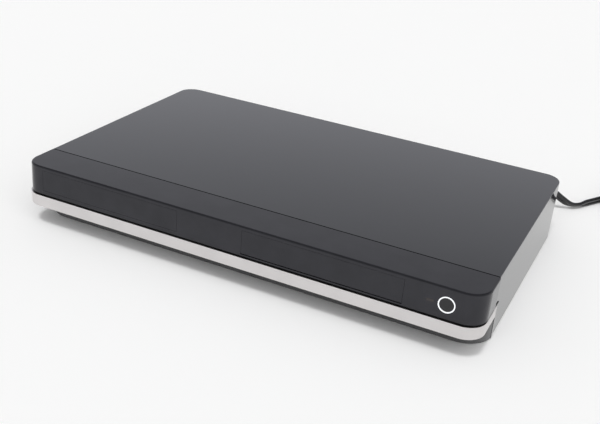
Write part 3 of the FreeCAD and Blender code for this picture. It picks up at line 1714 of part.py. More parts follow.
def tube_path(points):
    """A wire of straight runs joined by tangent arcs, and the radii of its arcs."""
    edges = []
    radii = []
    at = points[0]
    for i in range(1, len(points) - 1):
        before = points[i] - points[i - 1]
        after = points[i + 1] - points[i]
        turn = before.getAngle(after)
        run = min(before.Length, after.Length)
        reach = 0.45 * run
        radii.append(reach / math.tan(turn / 2))
        before.normalize()
        after.normalize()
        start = points[i] - before * reach
        stop = points[i] + after * reach
        middle = after - before
        middle.normalize()
        rise = radii[-1] / math.cos(turn / 2) - radii[-1]
        edges.append(Part.LineSegment(at, start).toShape())
        edges.append(Part.Arc(start, points[i] + middle * rise, stop).toShape())
        at = stop
    edges.append(Part.LineSegment(at, points[-1]).toShape())
    return Part.Wire(edges), radii


def power_cord():
    """The free stretch of the lead, from its strain relief to its coil."""
    last = coil_lead_in()
    straight = last - coil_heading(coil_start) * (1.5 * cord_width)
    points = [lead_start, lead_start + V(0, cord_width, 0)] + [V(*p) for p in lead_points] + [straight, last]
    path, radii = tube_path(points)
    face = Part.Face(Part.Wire(Part.makeCircle(cord_width / 2, points[0], points[1] - points[0])))
    tube = path.makePipeShell([face.OuterWire], True, False)
    section = math.pi * cord_width ** 2 / 4
    print("lead: length", round(path.Length, 1), "radii", [round(r) for r in radii])
    print("lead: volume over section times length", round(tube.Volume / section / path.Length, 4))
    return tube


def coil_floor():
    """The height of the lead's middle where it lies on the surface."""
    return cord_width / 2 + cord_lift


def coil_point(turn_angle, radius, z):
    """A point of the coil at an angle in degrees."""
    angle = math.radians(turn_angle)
    return V(coil_x + radius * math.cos(angle), coil_y + radius * math.sin(angle), z)


def coil_heading(turn_angle):
    """The direction of travel at an angle of the coil, which winds clockwise."""
    angle = math.radians(turn_angle)
    return V(math.sin(angle), -math.cos(angle), 0)


def coil_lead_in():
    """Where the coil's straight first end begins."""
    return coil_point(coil_start, coil_outer, coil_floor()) - coil_heading(coil_start) * coil_lead


def half_turn(start, stop, heading):
    """A half turn between two points whose headings are opposite."""
    middle = (start + stop) * 0.5
    return Part.Arc(start, middle + heading * ((stop - start).Length / 2), stop).toShape()


def coil_path():
    """The coil's centre line: in on the surface, up a layer as it reverses, and out again."""
    step = coil_pitch / 2
    low = coil_floor()
    high = low + coil_layer
    radii = [coil_outer - step * i for i in range(coil_half_turns)]
    radii.append(radii[-1] - coil_climb_step)
    radii += list(reversed(radii))
    angle = coil_start
    edges = [Part.LineSegment(coil_lead_in(), coil_point(angle, coil_outer, low)).toShape()]
    for i in range(len(radii) - 1):
        z0 = low if i <= coil_half_turns else high
        z1 = low if i < coil_half_turns else high
        start = coil_point(angle, radii[i], z0)
        stop = coil_point(angle - 180, radii[i + 1], z1)
        edges.append(half_turn(start, stop, coil_heading(angle)))
        angle -= 180
    return edges, coil_point(angle, coil_outer, high), coil_heading(angle)


def coil_tail(start, heading):
    """The end of the coil: straight, down beside the turns in two arcs, and straight again."""
    drop = start.z - plug_height / 2
    a = start + heading * cord_width
    c = a + heading * coil_end_drop - V(0, 0, drop)
    b = (a + c) * 0.5
    bow = coil_end_drop / 4
    sag = drop / 8
    edges = [Part.LineSegment(start, a).toShape()]
    edges.append(arc_from(a, heading, b))
    edges.append(arc_from(c, heading * -1, b))
    end = c + heading * cord_width
    edges.append(Part.LineSegment(c, end).toShape())
    return edges, end


def arc_from(start, heading, stop):
    """The arc that leaves a point along a heading and reaches another point."""
    chord = stop - start
    along = chord.dot(heading)
    side = chord - heading * along
    turn = math.atan2(side.Length, along)
    radius = chord.Length / 2 / math.sin(turn)
    side.normalize()
    middle = start + heading * (radius * math.sin(turn)) + side * (radius * (1 - math.cos(turn)))
    return Part.Arc(start, middle, stop).toShape()


def cord_coil():
    """The unseen length of the lead, wound in two layers, with the flat sides of its turns upright."""
    edges, last, heading = coil_path()
    tail, end = coil_tail(last, heading)
    path = Part.Wire(edges + tail)
    start = coil_lead_in()
    across = V(0, 0, 1).cross(coil_heading(coil_start))
    half = cord_width / 2 - cord_thickness / 2
    w = cord_thickness / 2
    up = V(0, 0, 1)
    a = start + up * half + across * w
    b = start + up * half - across * w
    c = start - up * half - across * w
    d = start - up * half + across * w
    sides = [Part.Arc(a, start + up * (half + w), b).toShape(), Part.LineSegment(b, c).toShape()]
    sides += [Part.Arc(c, start - up * (half + w), d).toShape(), Part.LineSegment(d, a).toShape()]
    coil = path.makePipeShell([Part.Wire(sides)], True, False)
    section = math.pi * w * w + 4 * half * w
    print("coil: length", round(path.Length, 1), "turns", (2 * coil_half_turns + 1) / 2)
    print("coil: volume over section times length", round(coil.Volume / section / path.Length, 4))
    print("coil: least gap between turns", round(least_gap(path), 2))
    return coil


def coil_sections(path, count):
    """Five points across the lead at each step of its path, carried along without twist."""
    length = path.Length
    points = path.discretize(Number=count)
    up = V(0, 0, 1)
    half = cord_width / 2 - cord_thickness / 2
    rows = []
    for i in range(count - 1):
        along = points[i + 1] - points[i]
        along.normalize()
        up = up - along * up.dot(along)
        up.normalize()
        rows.append([points[i] + up * (half * k / 2) for k in (-2, -1, 0, 1, 2)])
    return rows, length / (count - 1)


def least_gap(path):
    """The least space between two turns of the coil, measured on points across its sections."""
    rows, step = coil_sections(path, 360)
    apart = int(2 * coil_outer / step)
    least = coil_outer
    for i, row in enumerate(rows):
        for other in rows[i + apart:]:
            if (row[2] - other[2]).Length < 3 * cord_width:
                least = min(least, min((p - q).Length for p in row for q in other))
    return least - cord_thickness


def mains_plug():
    """The plug at the end of the lead, lying on the surface beside the coil."""
    edges, last, heading = coil_path()
    tail, end = coil_tail(last, heading)
    across = V(0, 0, 1).cross(heading)
    back = cord_width
    front = plug_length
    w = plug_width / 2
    narrow = cord_width / 2 + 1
    h = plug_height / 2
    body_corners = [
        (0, -narrow, 1.0), (back, -w, 3.0), (front, -w, 3.0), (front, w, 3.0), (back, w, 3.0),
        (0, narrow, 1.0)
    ]
    wire = outline(body_corners, lambda p: end + heading * p.x + across * p.y - V(0, 0, h - plug_round))
    body = Part.Face(wire).extrude(V(0, 0, 2 * (h - plug_round)))
    blades = []
    for side in (-1, 1):
        middle = end + heading * (front - 2) + across * (side * blade_gap / 2)
        b0 = middle - across * (blade_thickness / 2) - V(0, 0, blade_width / 2)
        corners = [
            b0, b0 + heading * (blade_length + 2),
            b0 + heading * (blade_length + 2) + across * blade_thickness, b0 + across * blade_thickness,
            b0
        ]
        blades.append(Part.Face(Part.makePolygon(corners)).extrude(V(0, 0, blade_width)))
    return joined([body] + blades)


def bay_keys():
    """The keys of the bay, one node each."""
    return {"bay_key_" + str(i + 1): bay_key(x) for i, x in enumerate(key_places())}


def front_usb():
    """The data socket in the bay."""
    return usb_socket(usb_x, bay_y + 2 * fit, bay_y + 2 * fit + usb_length, socket_z, True)


def rear_usb():
    """The data socket at the rear."""
    z = board_top + usb_height / 2
    return usb_socket(main_left + usb_rear_place, panel_y - usb_length, panel_y, z, False)


NODES = {
    "top_cover": top_cover,
    "front_bezel": front_bezel,
    "lower_bezel": lower_bezel,
    "silver_band": silver_band,
    "bottom_chassis": bottom_chassis,
    "rear_panel": rear_panel,
    "feet": feet,
    "rear_screws": rear_screws,
    "power_ring": power_ring,
    "power_button": power_button,
    "status_lens": status_lens,
    "flap_door": flap_door,
    "flap_bay": flap_bay,
    "flap_catch": flap_catch,
    "front_board": front_board,
    "usb_socket_front": front_usb,
    "card_reader": card_reader,
    "drive_base": drive_base,
    "drive_cover": drive_cover,
    "clamp_bridge": clamp_bridge,
    "clamper": clamper,
    "disc_tray": disc_tray,
    "tray_fascia": tray_fascia,
    "tray_gear": tray_gear,
    "pulley_gear": pulley_gear,
    "motor_pulley": motor_pulley,
    "tray_belt": tray_belt,
    "tray_motor": tray_motor,
    "cam_slider": cam_slider,
    "traverse_frame": traverse_frame,
    "sled_rods": sled_rods,
    "sled_screw": sled_screw,
    "sled_motor": sled_motor,
    "laser_sled": laser_sled,
    "objective_lens": objective_lens,
    "spindle_motor": spindle_motor,
    "turntable": turntable,
    "hard_drive": hard_drive,
    "hdd_bracket": hdd_bracket,
    "main_board": main_board,
    "heat_sink": heat_sink,
    "tuner_can": tuner_can,
    "aerial_sockets": aerial_sockets,
    "hdmi_socket": hdmi_socket,
    "lan_socket": lan_socket,
    "usb_socket_rear": rear_usb,
    "power_board": power_board,
    "power_parts": power_parts,
    "fan_frame": fan_frame,
    "fan_rotor": fan_rotor,
    "ac_inlet": ac_inlet,
    "cord_plug": cord_plug,
    "power_cord": power_cord,
    "cord_coil": cord_coil,
    "mains_plug": mains_plug,
}

os.makedirs("parts", exist_ok=True)
for name, make in NODES.items():
    save(name, make())
for name, shape in bay_keys().items():
    save(name, shape)
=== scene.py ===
"""A full-width disc recorder with its mains lead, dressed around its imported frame."""

from __future__ import annotations

import json
import logging
import math
from dataclasses import dataclass
from enum import Enum

import bmesh
import bpy
from bpy.types import Node, NodeOutputs, NodeSocket, NodeTree, Object
from mathutils import Matrix, Vector

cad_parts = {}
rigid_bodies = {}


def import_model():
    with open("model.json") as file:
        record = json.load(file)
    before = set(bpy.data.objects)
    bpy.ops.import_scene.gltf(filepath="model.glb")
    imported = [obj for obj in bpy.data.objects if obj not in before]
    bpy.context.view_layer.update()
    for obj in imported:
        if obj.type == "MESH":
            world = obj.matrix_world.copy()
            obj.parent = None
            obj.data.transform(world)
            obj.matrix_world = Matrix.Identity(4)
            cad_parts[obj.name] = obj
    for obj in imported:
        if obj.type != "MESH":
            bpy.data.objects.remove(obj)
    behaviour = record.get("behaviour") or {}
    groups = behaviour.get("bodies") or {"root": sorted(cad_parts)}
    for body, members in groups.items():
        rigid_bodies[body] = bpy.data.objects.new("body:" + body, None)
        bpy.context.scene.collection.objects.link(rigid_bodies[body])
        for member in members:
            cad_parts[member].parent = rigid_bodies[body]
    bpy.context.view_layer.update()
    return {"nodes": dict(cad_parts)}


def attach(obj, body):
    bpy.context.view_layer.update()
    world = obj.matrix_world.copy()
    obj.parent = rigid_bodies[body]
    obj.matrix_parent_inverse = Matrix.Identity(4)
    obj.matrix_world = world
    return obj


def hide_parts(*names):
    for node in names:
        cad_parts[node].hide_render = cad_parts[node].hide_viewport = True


LOG = logging.getLogger("disc_recorder")
MM = 0.001

# Angles and sizes that all the pieces share

SHARP_ANGLE = math.radians(38)
FLAT_ANGLE = math.radians(0.4)
BEVEL_ANGLE = math.radians(50)
TIP_RADIUS = 1e-6

# The slow variation that all the finishes share, in millimetres and as the noise's own range

TONE_BLOB = 22.0
TONE_DETAIL = 3.0
WIPE_BLOB = 34.0
WIPE_DETAIL = 4.0
NOISE_LOW = 0.3
NOISE_HIGH = 0.7
LEAST_ROUGHNESS = 0.02
EVEN = (1.0, 1.0, 1.0)

# Places of the sockets of a colour blend

BLEND_SHARE = 0
BLEND_BELOW = 6
BLEND_ABOVE = 7
BLEND_RESULT = 2

Point = tuple[float, float, float]
Colour = tuple[float, float, float]
Input = NodeSocket | float | tuple[float, ...]


# Nodes of materials


def feed(tree: NodeTree, target: NodeSocket, value: Input) -> None:
    """Links a value to an input, or sets the input where the value is plain.

    Args:
        tree: the nodes of the material or of the surrounding.
        target: the input.
        value: another node's output, a number or a colour.
    """
    if isinstance(value, NodeSocket):
        tree.links.new(value, target)
    else:
        target.default_value = value


def add_math(tree: NodeTree, operation: str, first: Input, second: Input = 0.0) -> NodeSocket:
    """Adds a sum on two values.

    Args:
        tree: the nodes of the material or of the surrounding.
        operation: what is done with them.
        first: the first value.
        second: the second value.

    Returns:
        The result.
    """
    sums = tree.nodes.new("ShaderNodeMath")
    sums.operation = operation
    feed(tree, sums.inputs[0], first)
    feed(tree, sums.inputs[1], second)
    return sums.outputs["Value"]


def add_blend(tree: NodeTree, share: Input, below: Input, above: Input, mode: str = "MIX") -> NodeSocket:
    """Adds a blend of two colours.

    Args:
        tree: the nodes of the material or of the surrounding.
        share: how much of the colour above there is.
        below: the colour that it starts from.
        above: the colour that goes over it.
        mode: how the two are blended.

    Returns:
        The blended colour.
    """
    blend = tree.nodes.new("ShaderNodeMix")
    blend.data_type = "RGBA"
    blend.blend_type = mode
    feed(tree, blend.inputs[BLEND_SHARE], share)
    feed(tree, blend.inputs[BLEND_BELOW], below)
    feed(tree, blend.inputs[BLEND_ABOVE], above)
    return blend.outputs[BLEND_RESULT]


def split_place(tree: NodeTree, place: NodeSocket) -> NodeOutputs:
    """Adds the split of a place into its three coordinates.

    Args:
        tree: the nodes of the material or of the surrounding.
        place: the coordinates.

    Returns:
        The outputs X, Y and Z.
    """
    parts = tree.nodes.new("ShaderNodeSeparateXYZ")
    tree.links.new(place, parts.inputs["Vector"])
    return parts.outputs


# Finishes


@dataclass(frozen=True)
class Surface:
    """A material in the making: its nodes, its shader, and the coordinates that its patterns follow."""

    tree: NodeTree
    shader: Node
    place: NodeSocket

    def noise(self, size: float, detail: float, stretch: Point = EVEN) -> NodeSocket:
        """Adds a noise of a size in the object's own space.

        Args:
            size: the size of a blob, in millimetres.
            detail: how many finer layers it has.
            stretch: how much longer than that the blobs are along each axis.

        Returns:
            The noise's value.
        """
        mapping = self.tree.nodes.new("ShaderNodeMapping")
        mapping.inputs["Scale"].default_value = tuple(1 / (size * MM * s) for s in stretch)
        noise = self.tree.nodes.new("ShaderNodeTexNoise")
        noise.inputs["Scale"].default_value = 1.0
        noise.inputs["Detail"].default_value = detail
        self.tree.links.new(self.place, mapping.inputs["Vector"])
        self.tree.links.new(mapping.outputs["Vector"], noise.inputs["Vector"])
        return noise.outputs["Fac"]

    def link(self, output: NodeSocket, name: str) -> None:
        """Links an output to the shader's input of that name."""
        self.tree.links.new(output, self.shader.inputs[name])

    def linked(self, name: str) -> NodeSocket:
        """What the shader's input of that name is linked to."""
        return self.shader.inputs[name].links[0].from_socket


class Grain(Enum):
    """The fine relief that a surface has."""

    PAINT = "paint"
    GLOSS = "gloss"
    MOULDED = "moulded"
    BRUSHED = "brushed"
    CAST = "cast"
    SOFT = "soft"
    BOARD = "board"


GRAIN_STRETCH = {Grain.BRUSHED: (40.0, 1.0, 1.0)}
GRAIN_DETAIL = {Grain.GLOSS: 0.0, Grain.PAINT: 1.0}
FULL_DETAIL = 3.0


@dataclass(frozen=True)
class Finish:
    """One surface finish, as a material made of nodes.

    Sizes are in millimetres. Relief is the depth of the grain. Mottle and smudge are how far the colour and
    the roughness stray.
    """

    name: str
    colour: Colour
    roughness: float
    grain: Grain
    grain_size: float = 0.6
    relief: float = 0.01
    metallic: float = 0.0
    ior: float = 1.5
    mottle: float = 0.12
    smudge: float = 0.04
    transmission: float = 0.0
    specular: float = 0.5
    glow: float = 0.0

    def build(self) -> bpy.types.Material:
        """Makes the material, or returns it if it is made already.

        Returns:
            The material.
        """
        name = f"{self.name}_finish"
        known = bpy.data.materials.get(name)
        if known is not None:
            return known
        material = bpy.data.materials.new(name)
        material.use_nodes = True
        tree = material.node_tree
        shader = tree.nodes["Principled BSDF"]
        shader.inputs["Metallic"].default_value = self.metallic
        shader.inputs["IOR"].default_value = self.ior
        shader.inputs["Specular IOR Level"].default_value = self.specular
        shader.inputs["Transmission Weight"].default_value = self.transmission
        shader.inputs["Emission Color"].default_value = (*self.colour, 1.0)
        shader.inputs["Emission Strength"].default_value = self.glow
        made = Surface(tree, shader, tree.nodes.new("ShaderNodeTexCoord").outputs["Object"])
        self._link_colour(made)
        span = tree.nodes.new("ShaderNodeMapRange")
        span.inputs["From Min"].default_value = NOISE_LOW
        span.inputs["From Max"].default_value = NOISE_HIGH
        span.inputs["To Min"].default_value = max(self.roughness - self.smudge, LEAST_ROUGHNESS)
        span.inputs["To Max"].default_value = self.roughness + self.smudge
        tree.links.new(made.noise(WIPE_BLOB, WIPE_DETAIL), span.inputs["Value"])
        made.link(span.outputs["Result"], "Roughness")
        self._link_relief(made)
        material.diffuse_color = (*self.colour, 1.0)
        return material

    def _link_colour(self, made: Surface) -> None:
        """Gives the base colour its slow variation.

        Args:
            made: the material in the making.
        """
        ramp = made.tree.nodes.new("ShaderNodeValToRGB")
        low, high = ramp.color_ramp.elements
        low.position = NOISE_LOW
        high.position = NOISE_HIGH
        low.color = (*(c * (1 - self.mottle) for c in self.colour), 1.0)
        high.color = (*(min(c * (1 + self.mottle), 1.0) for c in self.colour), 1.0)
        made.tree.links.new(made.noise(TONE_BLOB, TONE_DETAIL), ramp.inputs["Fac"])
        made.link(ramp.outputs["Color"], "Base Color")

    def _link_relief(self, made: Surface) -> None:
        """Gives the surface its grain.

        Args:
            made: the material in the making.
        """
        stretch = GRAIN_STRETCH.get(self.grain, EVEN)
        detail = GRAIN_DETAIL.get(self.grain, FULL_DETAIL)
        bump = made.tree.nodes.new("ShaderNodeBump")
        bump.inputs["Strength"].default_value = 1.0
        bump.inputs["Distance"].default_value = self.relief * MM
        made.tree.links.new(made.noise(self.grain_size, detail, stretch), bump.inputs["Height"])
        made.link(bump.outputs["Normal"], "Normal")


@dataclass(frozen=True)
class BoardFinish(Finish):
    """A circuit board: green mask over copper tracks, with pale plated dots and dark chips on top.

    The tracks and the dots follow cells of one size. The rate is how many dots a cell has along a side, and
    the shares are parts of a cell.
    """

    track: Colour = (0.05, 0.26, 0.11)
    dot: Colour = (0.55, 0.52, 0.4)
    chip: Colour = (0.02, 0.02, 0.021)
    board_top: float = 9.65
    cell: float = 3.125
    shade: float = 0.9
    track_share: float = 0.06
    dot_rate: float = 0.9
    dot_share: float = 0.12

    def _link_colour(self, made: Surface) -> None:
        """Draws tracks and dots over the mask, and the chips over them.

        Args:
            made: the material in the making.
        """
        tree = made.tree
        mapping = tree.nodes.new("ShaderNodeMapping")
        cells_in_metre = 1 / (self.cell * MM)
        mapping.inputs["Scale"].default_value = (cells_in_metre, cells_in_metre, 0.0)
        tree.links.new(made.place, mapping.inputs["Vector"])
        brick = tree.nodes.new("ShaderNodeTexBrick")
        brick.inputs["Scale"].default_value = 1.0
        brick.inputs["Mortar Size"].default_value = self.track_share
        brick.inputs["Color1"].default_value = (*self.colour, 1.0)
        brick.inputs["Color2"].default_value = (*(c * self.shade for c in self.colour), 1.0)
        brick.inputs["Mortar"].default_value = (*self.track, 1.0)
        tree.links.new(mapping.outputs["Vector"], brick.inputs["Vector"])
        cells = tree.nodes.new("ShaderNodeTexVoronoi")
        cells.inputs["Scale"].default_value = self.dot_rate
        tree.links.new(mapping.outputs["Vector"], cells.inputs["Vector"])
        spot = add_math(tree, "LESS_THAN", cells.outputs["Distance"], self.dot_share)
        dotted = add_blend(tree, spot, brick.outputs["Color"], (*self.dot, 1.0))
        above = add_math(tree, "GREATER_THAN", split_place(tree, made.place)["Z"], self.board_top * MM)
        made.link(add_blend(tree, above, dotted, (*self.chip, 1.0)), "Base Color")


@dataclass(frozen=True)
class PaintedLightBandsFinish(Finish):
    """A moulding whose colour is dimmed or lifted in bands by height, as painted shade and painted light,
    such as a painted dark line at a rounded edge.

    Each band has the height that it starts at, in millimetres, and the share of the colour that it keeps.
    There are two bands or more.
    """

    bands: tuple[tuple[float, float], ...] = ((0.0, 1.0), (0.0, 1.0))

    def _link_colour(self, made: Surface) -> None:
        """Paints shade and light by height: scales the base colour by each band's share.

        Args:
            made: the material in the making.
        """
        super()._link_colour(made)
        tree = made.tree
        height = split_place(tree, made.place)["Z"]
        level = self.bands[0][1]
        for (_, before), (start, after) in zip(self.bands, self.bands[1:]):
            above = add_math(tree, "GREATER_THAN", height, start * MM)
            step = add_math(tree, "MULTIPLY", above, after - before)
            level = add_math(tree, "ADD", step, level)
        made.link(add_blend(tree, 1.0, made.linked("Base Color"), level, "MULTIPLY"), "Base Color")


@dataclass(frozen=True)
class GroovedFinish(PaintedLightBandsFinish):
    """A moulding that is matt in its groove, and polished at the sides and on the skirt below it."""

    polished_from: float = 213.3
    polished_below: float = 21.0
    polish: float = 0.06

    def _link_relief(self, made: Surface) -> None:
        """Gives the surface its grain, and its polish by how far out and how low it lies.

        Args:
            made: the material in the making.
        """
        super()._link_relief(made)
        tree = made.tree
        parts = split_place(tree, made.place)
        out = add_math(tree, "ABSOLUTE", parts["X"])
        side = add_math(tree, "GREATER_THAN", out, self.polished_from * MM)
        low = add_math(tree, "LESS_THAN", parts["Z"], self.polished_below * MM)
        either = add_math(tree, "MAXIMUM", side, low)
        level = tree.nodes.new("ShaderNodeMix")
        level.inputs["B"].default_value = self.polish
        tree.links.new(either, level.inputs["Factor"])
        tree.links.new(made.linked("Roughness"), level.inputs["A"])
        made.link(level.outputs["Result"], "Roughness")


BEZEL_BLACK = (0.029, 0.029, 0.0335)
BOARD_MASK = (0.018, 0.15, 0.055)

COVER_GLOSS = Finish("cover_gloss", (0.0035, 0.004, 0.0055), 0.035, Grain.PAINT, 1.4, 0.0003, smudge=0.015,
                     mottle=0.12)
BEZEL_GLOSS = Finish("bezel_gloss", BEZEL_BLACK, 0.05, Grain.GLOSS, 3.0, 0.0003, smudge=0.02, mottle=0.1,
                     ior=1.26)
# Painted shade: the bezel's colour drops to 0.6 on its rounded top edge, a painted dark edge line, and to
# 0.93 on its top strip, standing in for the darker reflections there.
BEZEL_PAINTED_EDGE_SHADE = PaintedLightBandsFinish("bezel_painted_edge_shade", BEZEL_BLACK, 0.05, Grain.GLOSS, 3.0, 0.0003, smudge=0.02,
                           mottle=0.1, ior=1.26, bands=((0.0, 1.0), (57.9, 0.6), (59.12, 0.93)))
# Painted light: below 21 mm the black skirt is lifted to a mid grey that stands in for its reflection of the
# shaded floor; above that, 0.3 of it gives the black of the groove behind the band.
LOWER_SKIRT_PAINTED_LIGHT = GroovedFinish("lower_black", (0.09, 0.09, 0.092), 0.5, Grain.MOULDED, 0.3, 0.002, mottle=0.1,
                            bands=((0.0, 1.0), (21.0, 0.3)))
BAND_SILVER = Finish("band_silver", (0.63, 0.61, 0.605), 0.34, Grain.BRUSHED, 0.12, 0.004, 1.0, smudge=0.03,
                     mottle=0.03)
ZINC_STEEL = Finish("chassis_steel", (0.56, 0.57, 0.56), 0.38, Grain.CAST, 5.0, 0.004, 1.0, smudge=0.07,
                    mottle=0.05)
PANEL_PAINT = Finish("panel_black", (0.022, 0.022, 0.024), 0.5, Grain.MOULDED, 0.35, 0.02, mottle=0.15)
FOOT_RUBBER = Finish("foot_rubber", (0.028, 0.028, 0.029), 0.75, Grain.SOFT, 0.25, 0.02)
SCREW_METAL = Finish("screw_metal", (0.09, 0.09, 0.095), 0.3, Grain.CAST, 0.5, 0.006, 1.0)
# Painted light: the ring glows faintly, though it is no lamp, to give the thin ring its bright look.
RING_GREY = Finish("ring_grey", (0.86, 0.88, 0.9), 0.25, Grain.GLOSS, 1.0, 0.0006, mottle=0.02, glow=0.2)
BUTTON_GLOSS = Finish("button_gloss", (0.005, 0.005, 0.006), 0.07, Grain.GLOSS, 2.0, 0.0004, smudge=0.03)
LENS_SMOKE = Finish("lens_smoke", (0.02, 0.016, 0.016), 0.06, Grain.GLOSS, 1.0, 0.0004, ior=1.49)
BAY_BLACK = Finish("bay_black", (0.022, 0.022, 0.023), 0.45, Grain.MOULDED, 0.3, 0.02)
KEY_GREY = Finish("key_grey", (0.11, 0.11, 0.115), 0.42, Grain.MOULDED, 0.3, 0.01)
BOARD_GREEN = BoardFinish("board_green", BOARD_MASK, 0.35, Grain.BOARD, 0.8, 0.02)
FRONT_BOARD_GREEN = BoardFinish("front_board_green", BOARD_MASK, 0.35, Grain.BOARD, 0.8, 0.02, board_top=99.0)
SOCKET_METAL = Finish("socket_metal", (0.62, 0.62, 0.6), 0.25, Grain.BRUSHED, 0.1, 0.003, 1.0)
DRIVE_GREY = Finish("drive_grey", (0.05, 0.05, 0.053), 0.5, Grain.MOULDED, 0.3, 0.02)
DRIVE_STEEL = Finish("drive_steel", (0.56, 0.57, 0.57), 0.33, Grain.BRUSHED, 0.15, 0.004, 1.0)
TRAY_BLACK = Finish("tray_black", (0.026, 0.026, 0.028), 0.38, Grain.MOULDED, 0.22, 0.012)
GEAR_WHITE = Finish("gear_white", (0.72, 0.715, 0.67), 0.4, Grain.MOULDED, 0.3, 0.01, mottle=0.04)
BELT_BLACK = Finish("belt_black", (0.018, 0.018, 0.018), 0.7, Grain.SOFT, 0.2, 0.01)
MOTOR_METAL = Finish("motor_metal", (0.52, 0.52, 0.51), 0.3, Grain.BRUSHED, 0.12, 0.004, 1.0)
ROD_STEEL = Finish("rod_steel", (0.68, 0.68, 0.68), 0.15, Grain.BRUSHED, 0.1, 0.001, 1.0, mottle=0.03)
SLED_METAL = Finish("sled_metal", (0.36, 0.36, 0.37), 0.45, Grain.CAST, 0.5, 0.03, 1.0)
LENS_GLASS = Finish("lens_glass", (0.4, 0.45, 0.7), 0.04, Grain.GLOSS, 1.0, 0.0002, transmission=0.6,
                    mottle=0.05)
TABLE_RUBBER = Finish("table_rubber", (0.035, 0.035, 0.036), 0.6, Grain.SOFT, 0.25, 0.015)
HDD_METAL = Finish("hdd_metal", (0.42, 0.42, 0.43), 0.42, Grain.CAST, 0.5, 0.03, 1.0)
SINK_METAL = Finish("sink_metal", (0.54, 0.54, 0.55), 0.36, Grain.BRUSHED, 0.2, 0.01, 1.0)
TUNER_METAL = Finish("tuner_metal", (0.6, 0.6, 0.58), 0.3, Grain.CAST, 3.0, 0.005, 1.0)
POWER_MIX = Finish("power_mix", (0.07, 0.062, 0.05), 0.4, Grain.MOULDED, 0.5, 0.015, mottle=0.2)
FAN_BLACK = Finish("fan_black", (0.02, 0.02, 0.02), 0.38, Grain.MOULDED, 0.3, 0.008)
INLET_BLACK = Finish("inlet_black", (0.016, 0.016, 0.016), 0.4, Grain.MOULDED, 0.3, 0.01)
SOCKET_BLACK = Finish("socket_black", (0.016, 0.016, 0.016), 0.4, Grain.MOULDED, 0.3, 0.01)
CORD_BLACK = Finish("cord_black", (0.008, 0.008, 0.009), 0.22, Grain.SOFT, 1.2, 0.008, smudge=0.06)
PLUG_BLACK = Finish("plug_black", (0.012, 0.012, 0.012), 0.35, Grain.MOULDED, 0.4, 0.012)
CONTACT_GOLD = Finish("contact_gold", (0.8, 0.58, 0.26), 0.22, Grain.BRUSHED, 0.1, 0.002, 1.0, mottle=0.04)
TONGUE_BLACK = Finish("tongue_black", (0.018, 0.018, 0.018), 0.4, Grain.MOULDED, 0.2, 0.004)
TONGUE_WHITE = Finish("tongue_white", (0.7, 0.7, 0.67), 0.4, Grain.MOULDED, 0.2, 0.004, mottle=0.04)
TIN = Finish("tin_plate", (0.6, 0.6, 0.58), 0.3, Grain.CAST, 0.6, 0.004, 1.0)


# Mesh making


class Turn(Enum):
    """The axis that a turned piece stands on."""

    X = "x"
    Y = "y"
    Z = "z"

    def place(self, radius: float, angle: float, height: float) -> Vector:
        """A point of a turned piece.

        Args:
            radius: its distance from the axis.
            angle: its angle round the axis, in radians.
            height: its place along the axis.

        Returns:
            The point, from the piece's centre.
        """
        a = radius * math.cos(angle)
        b = radius * math.sin(angle)
        if self is Turn.X:
            return Vector((height, a, b))
        if self is Turn.Y:
            return Vector((b, height, a))
        return Vector((a, b, height))


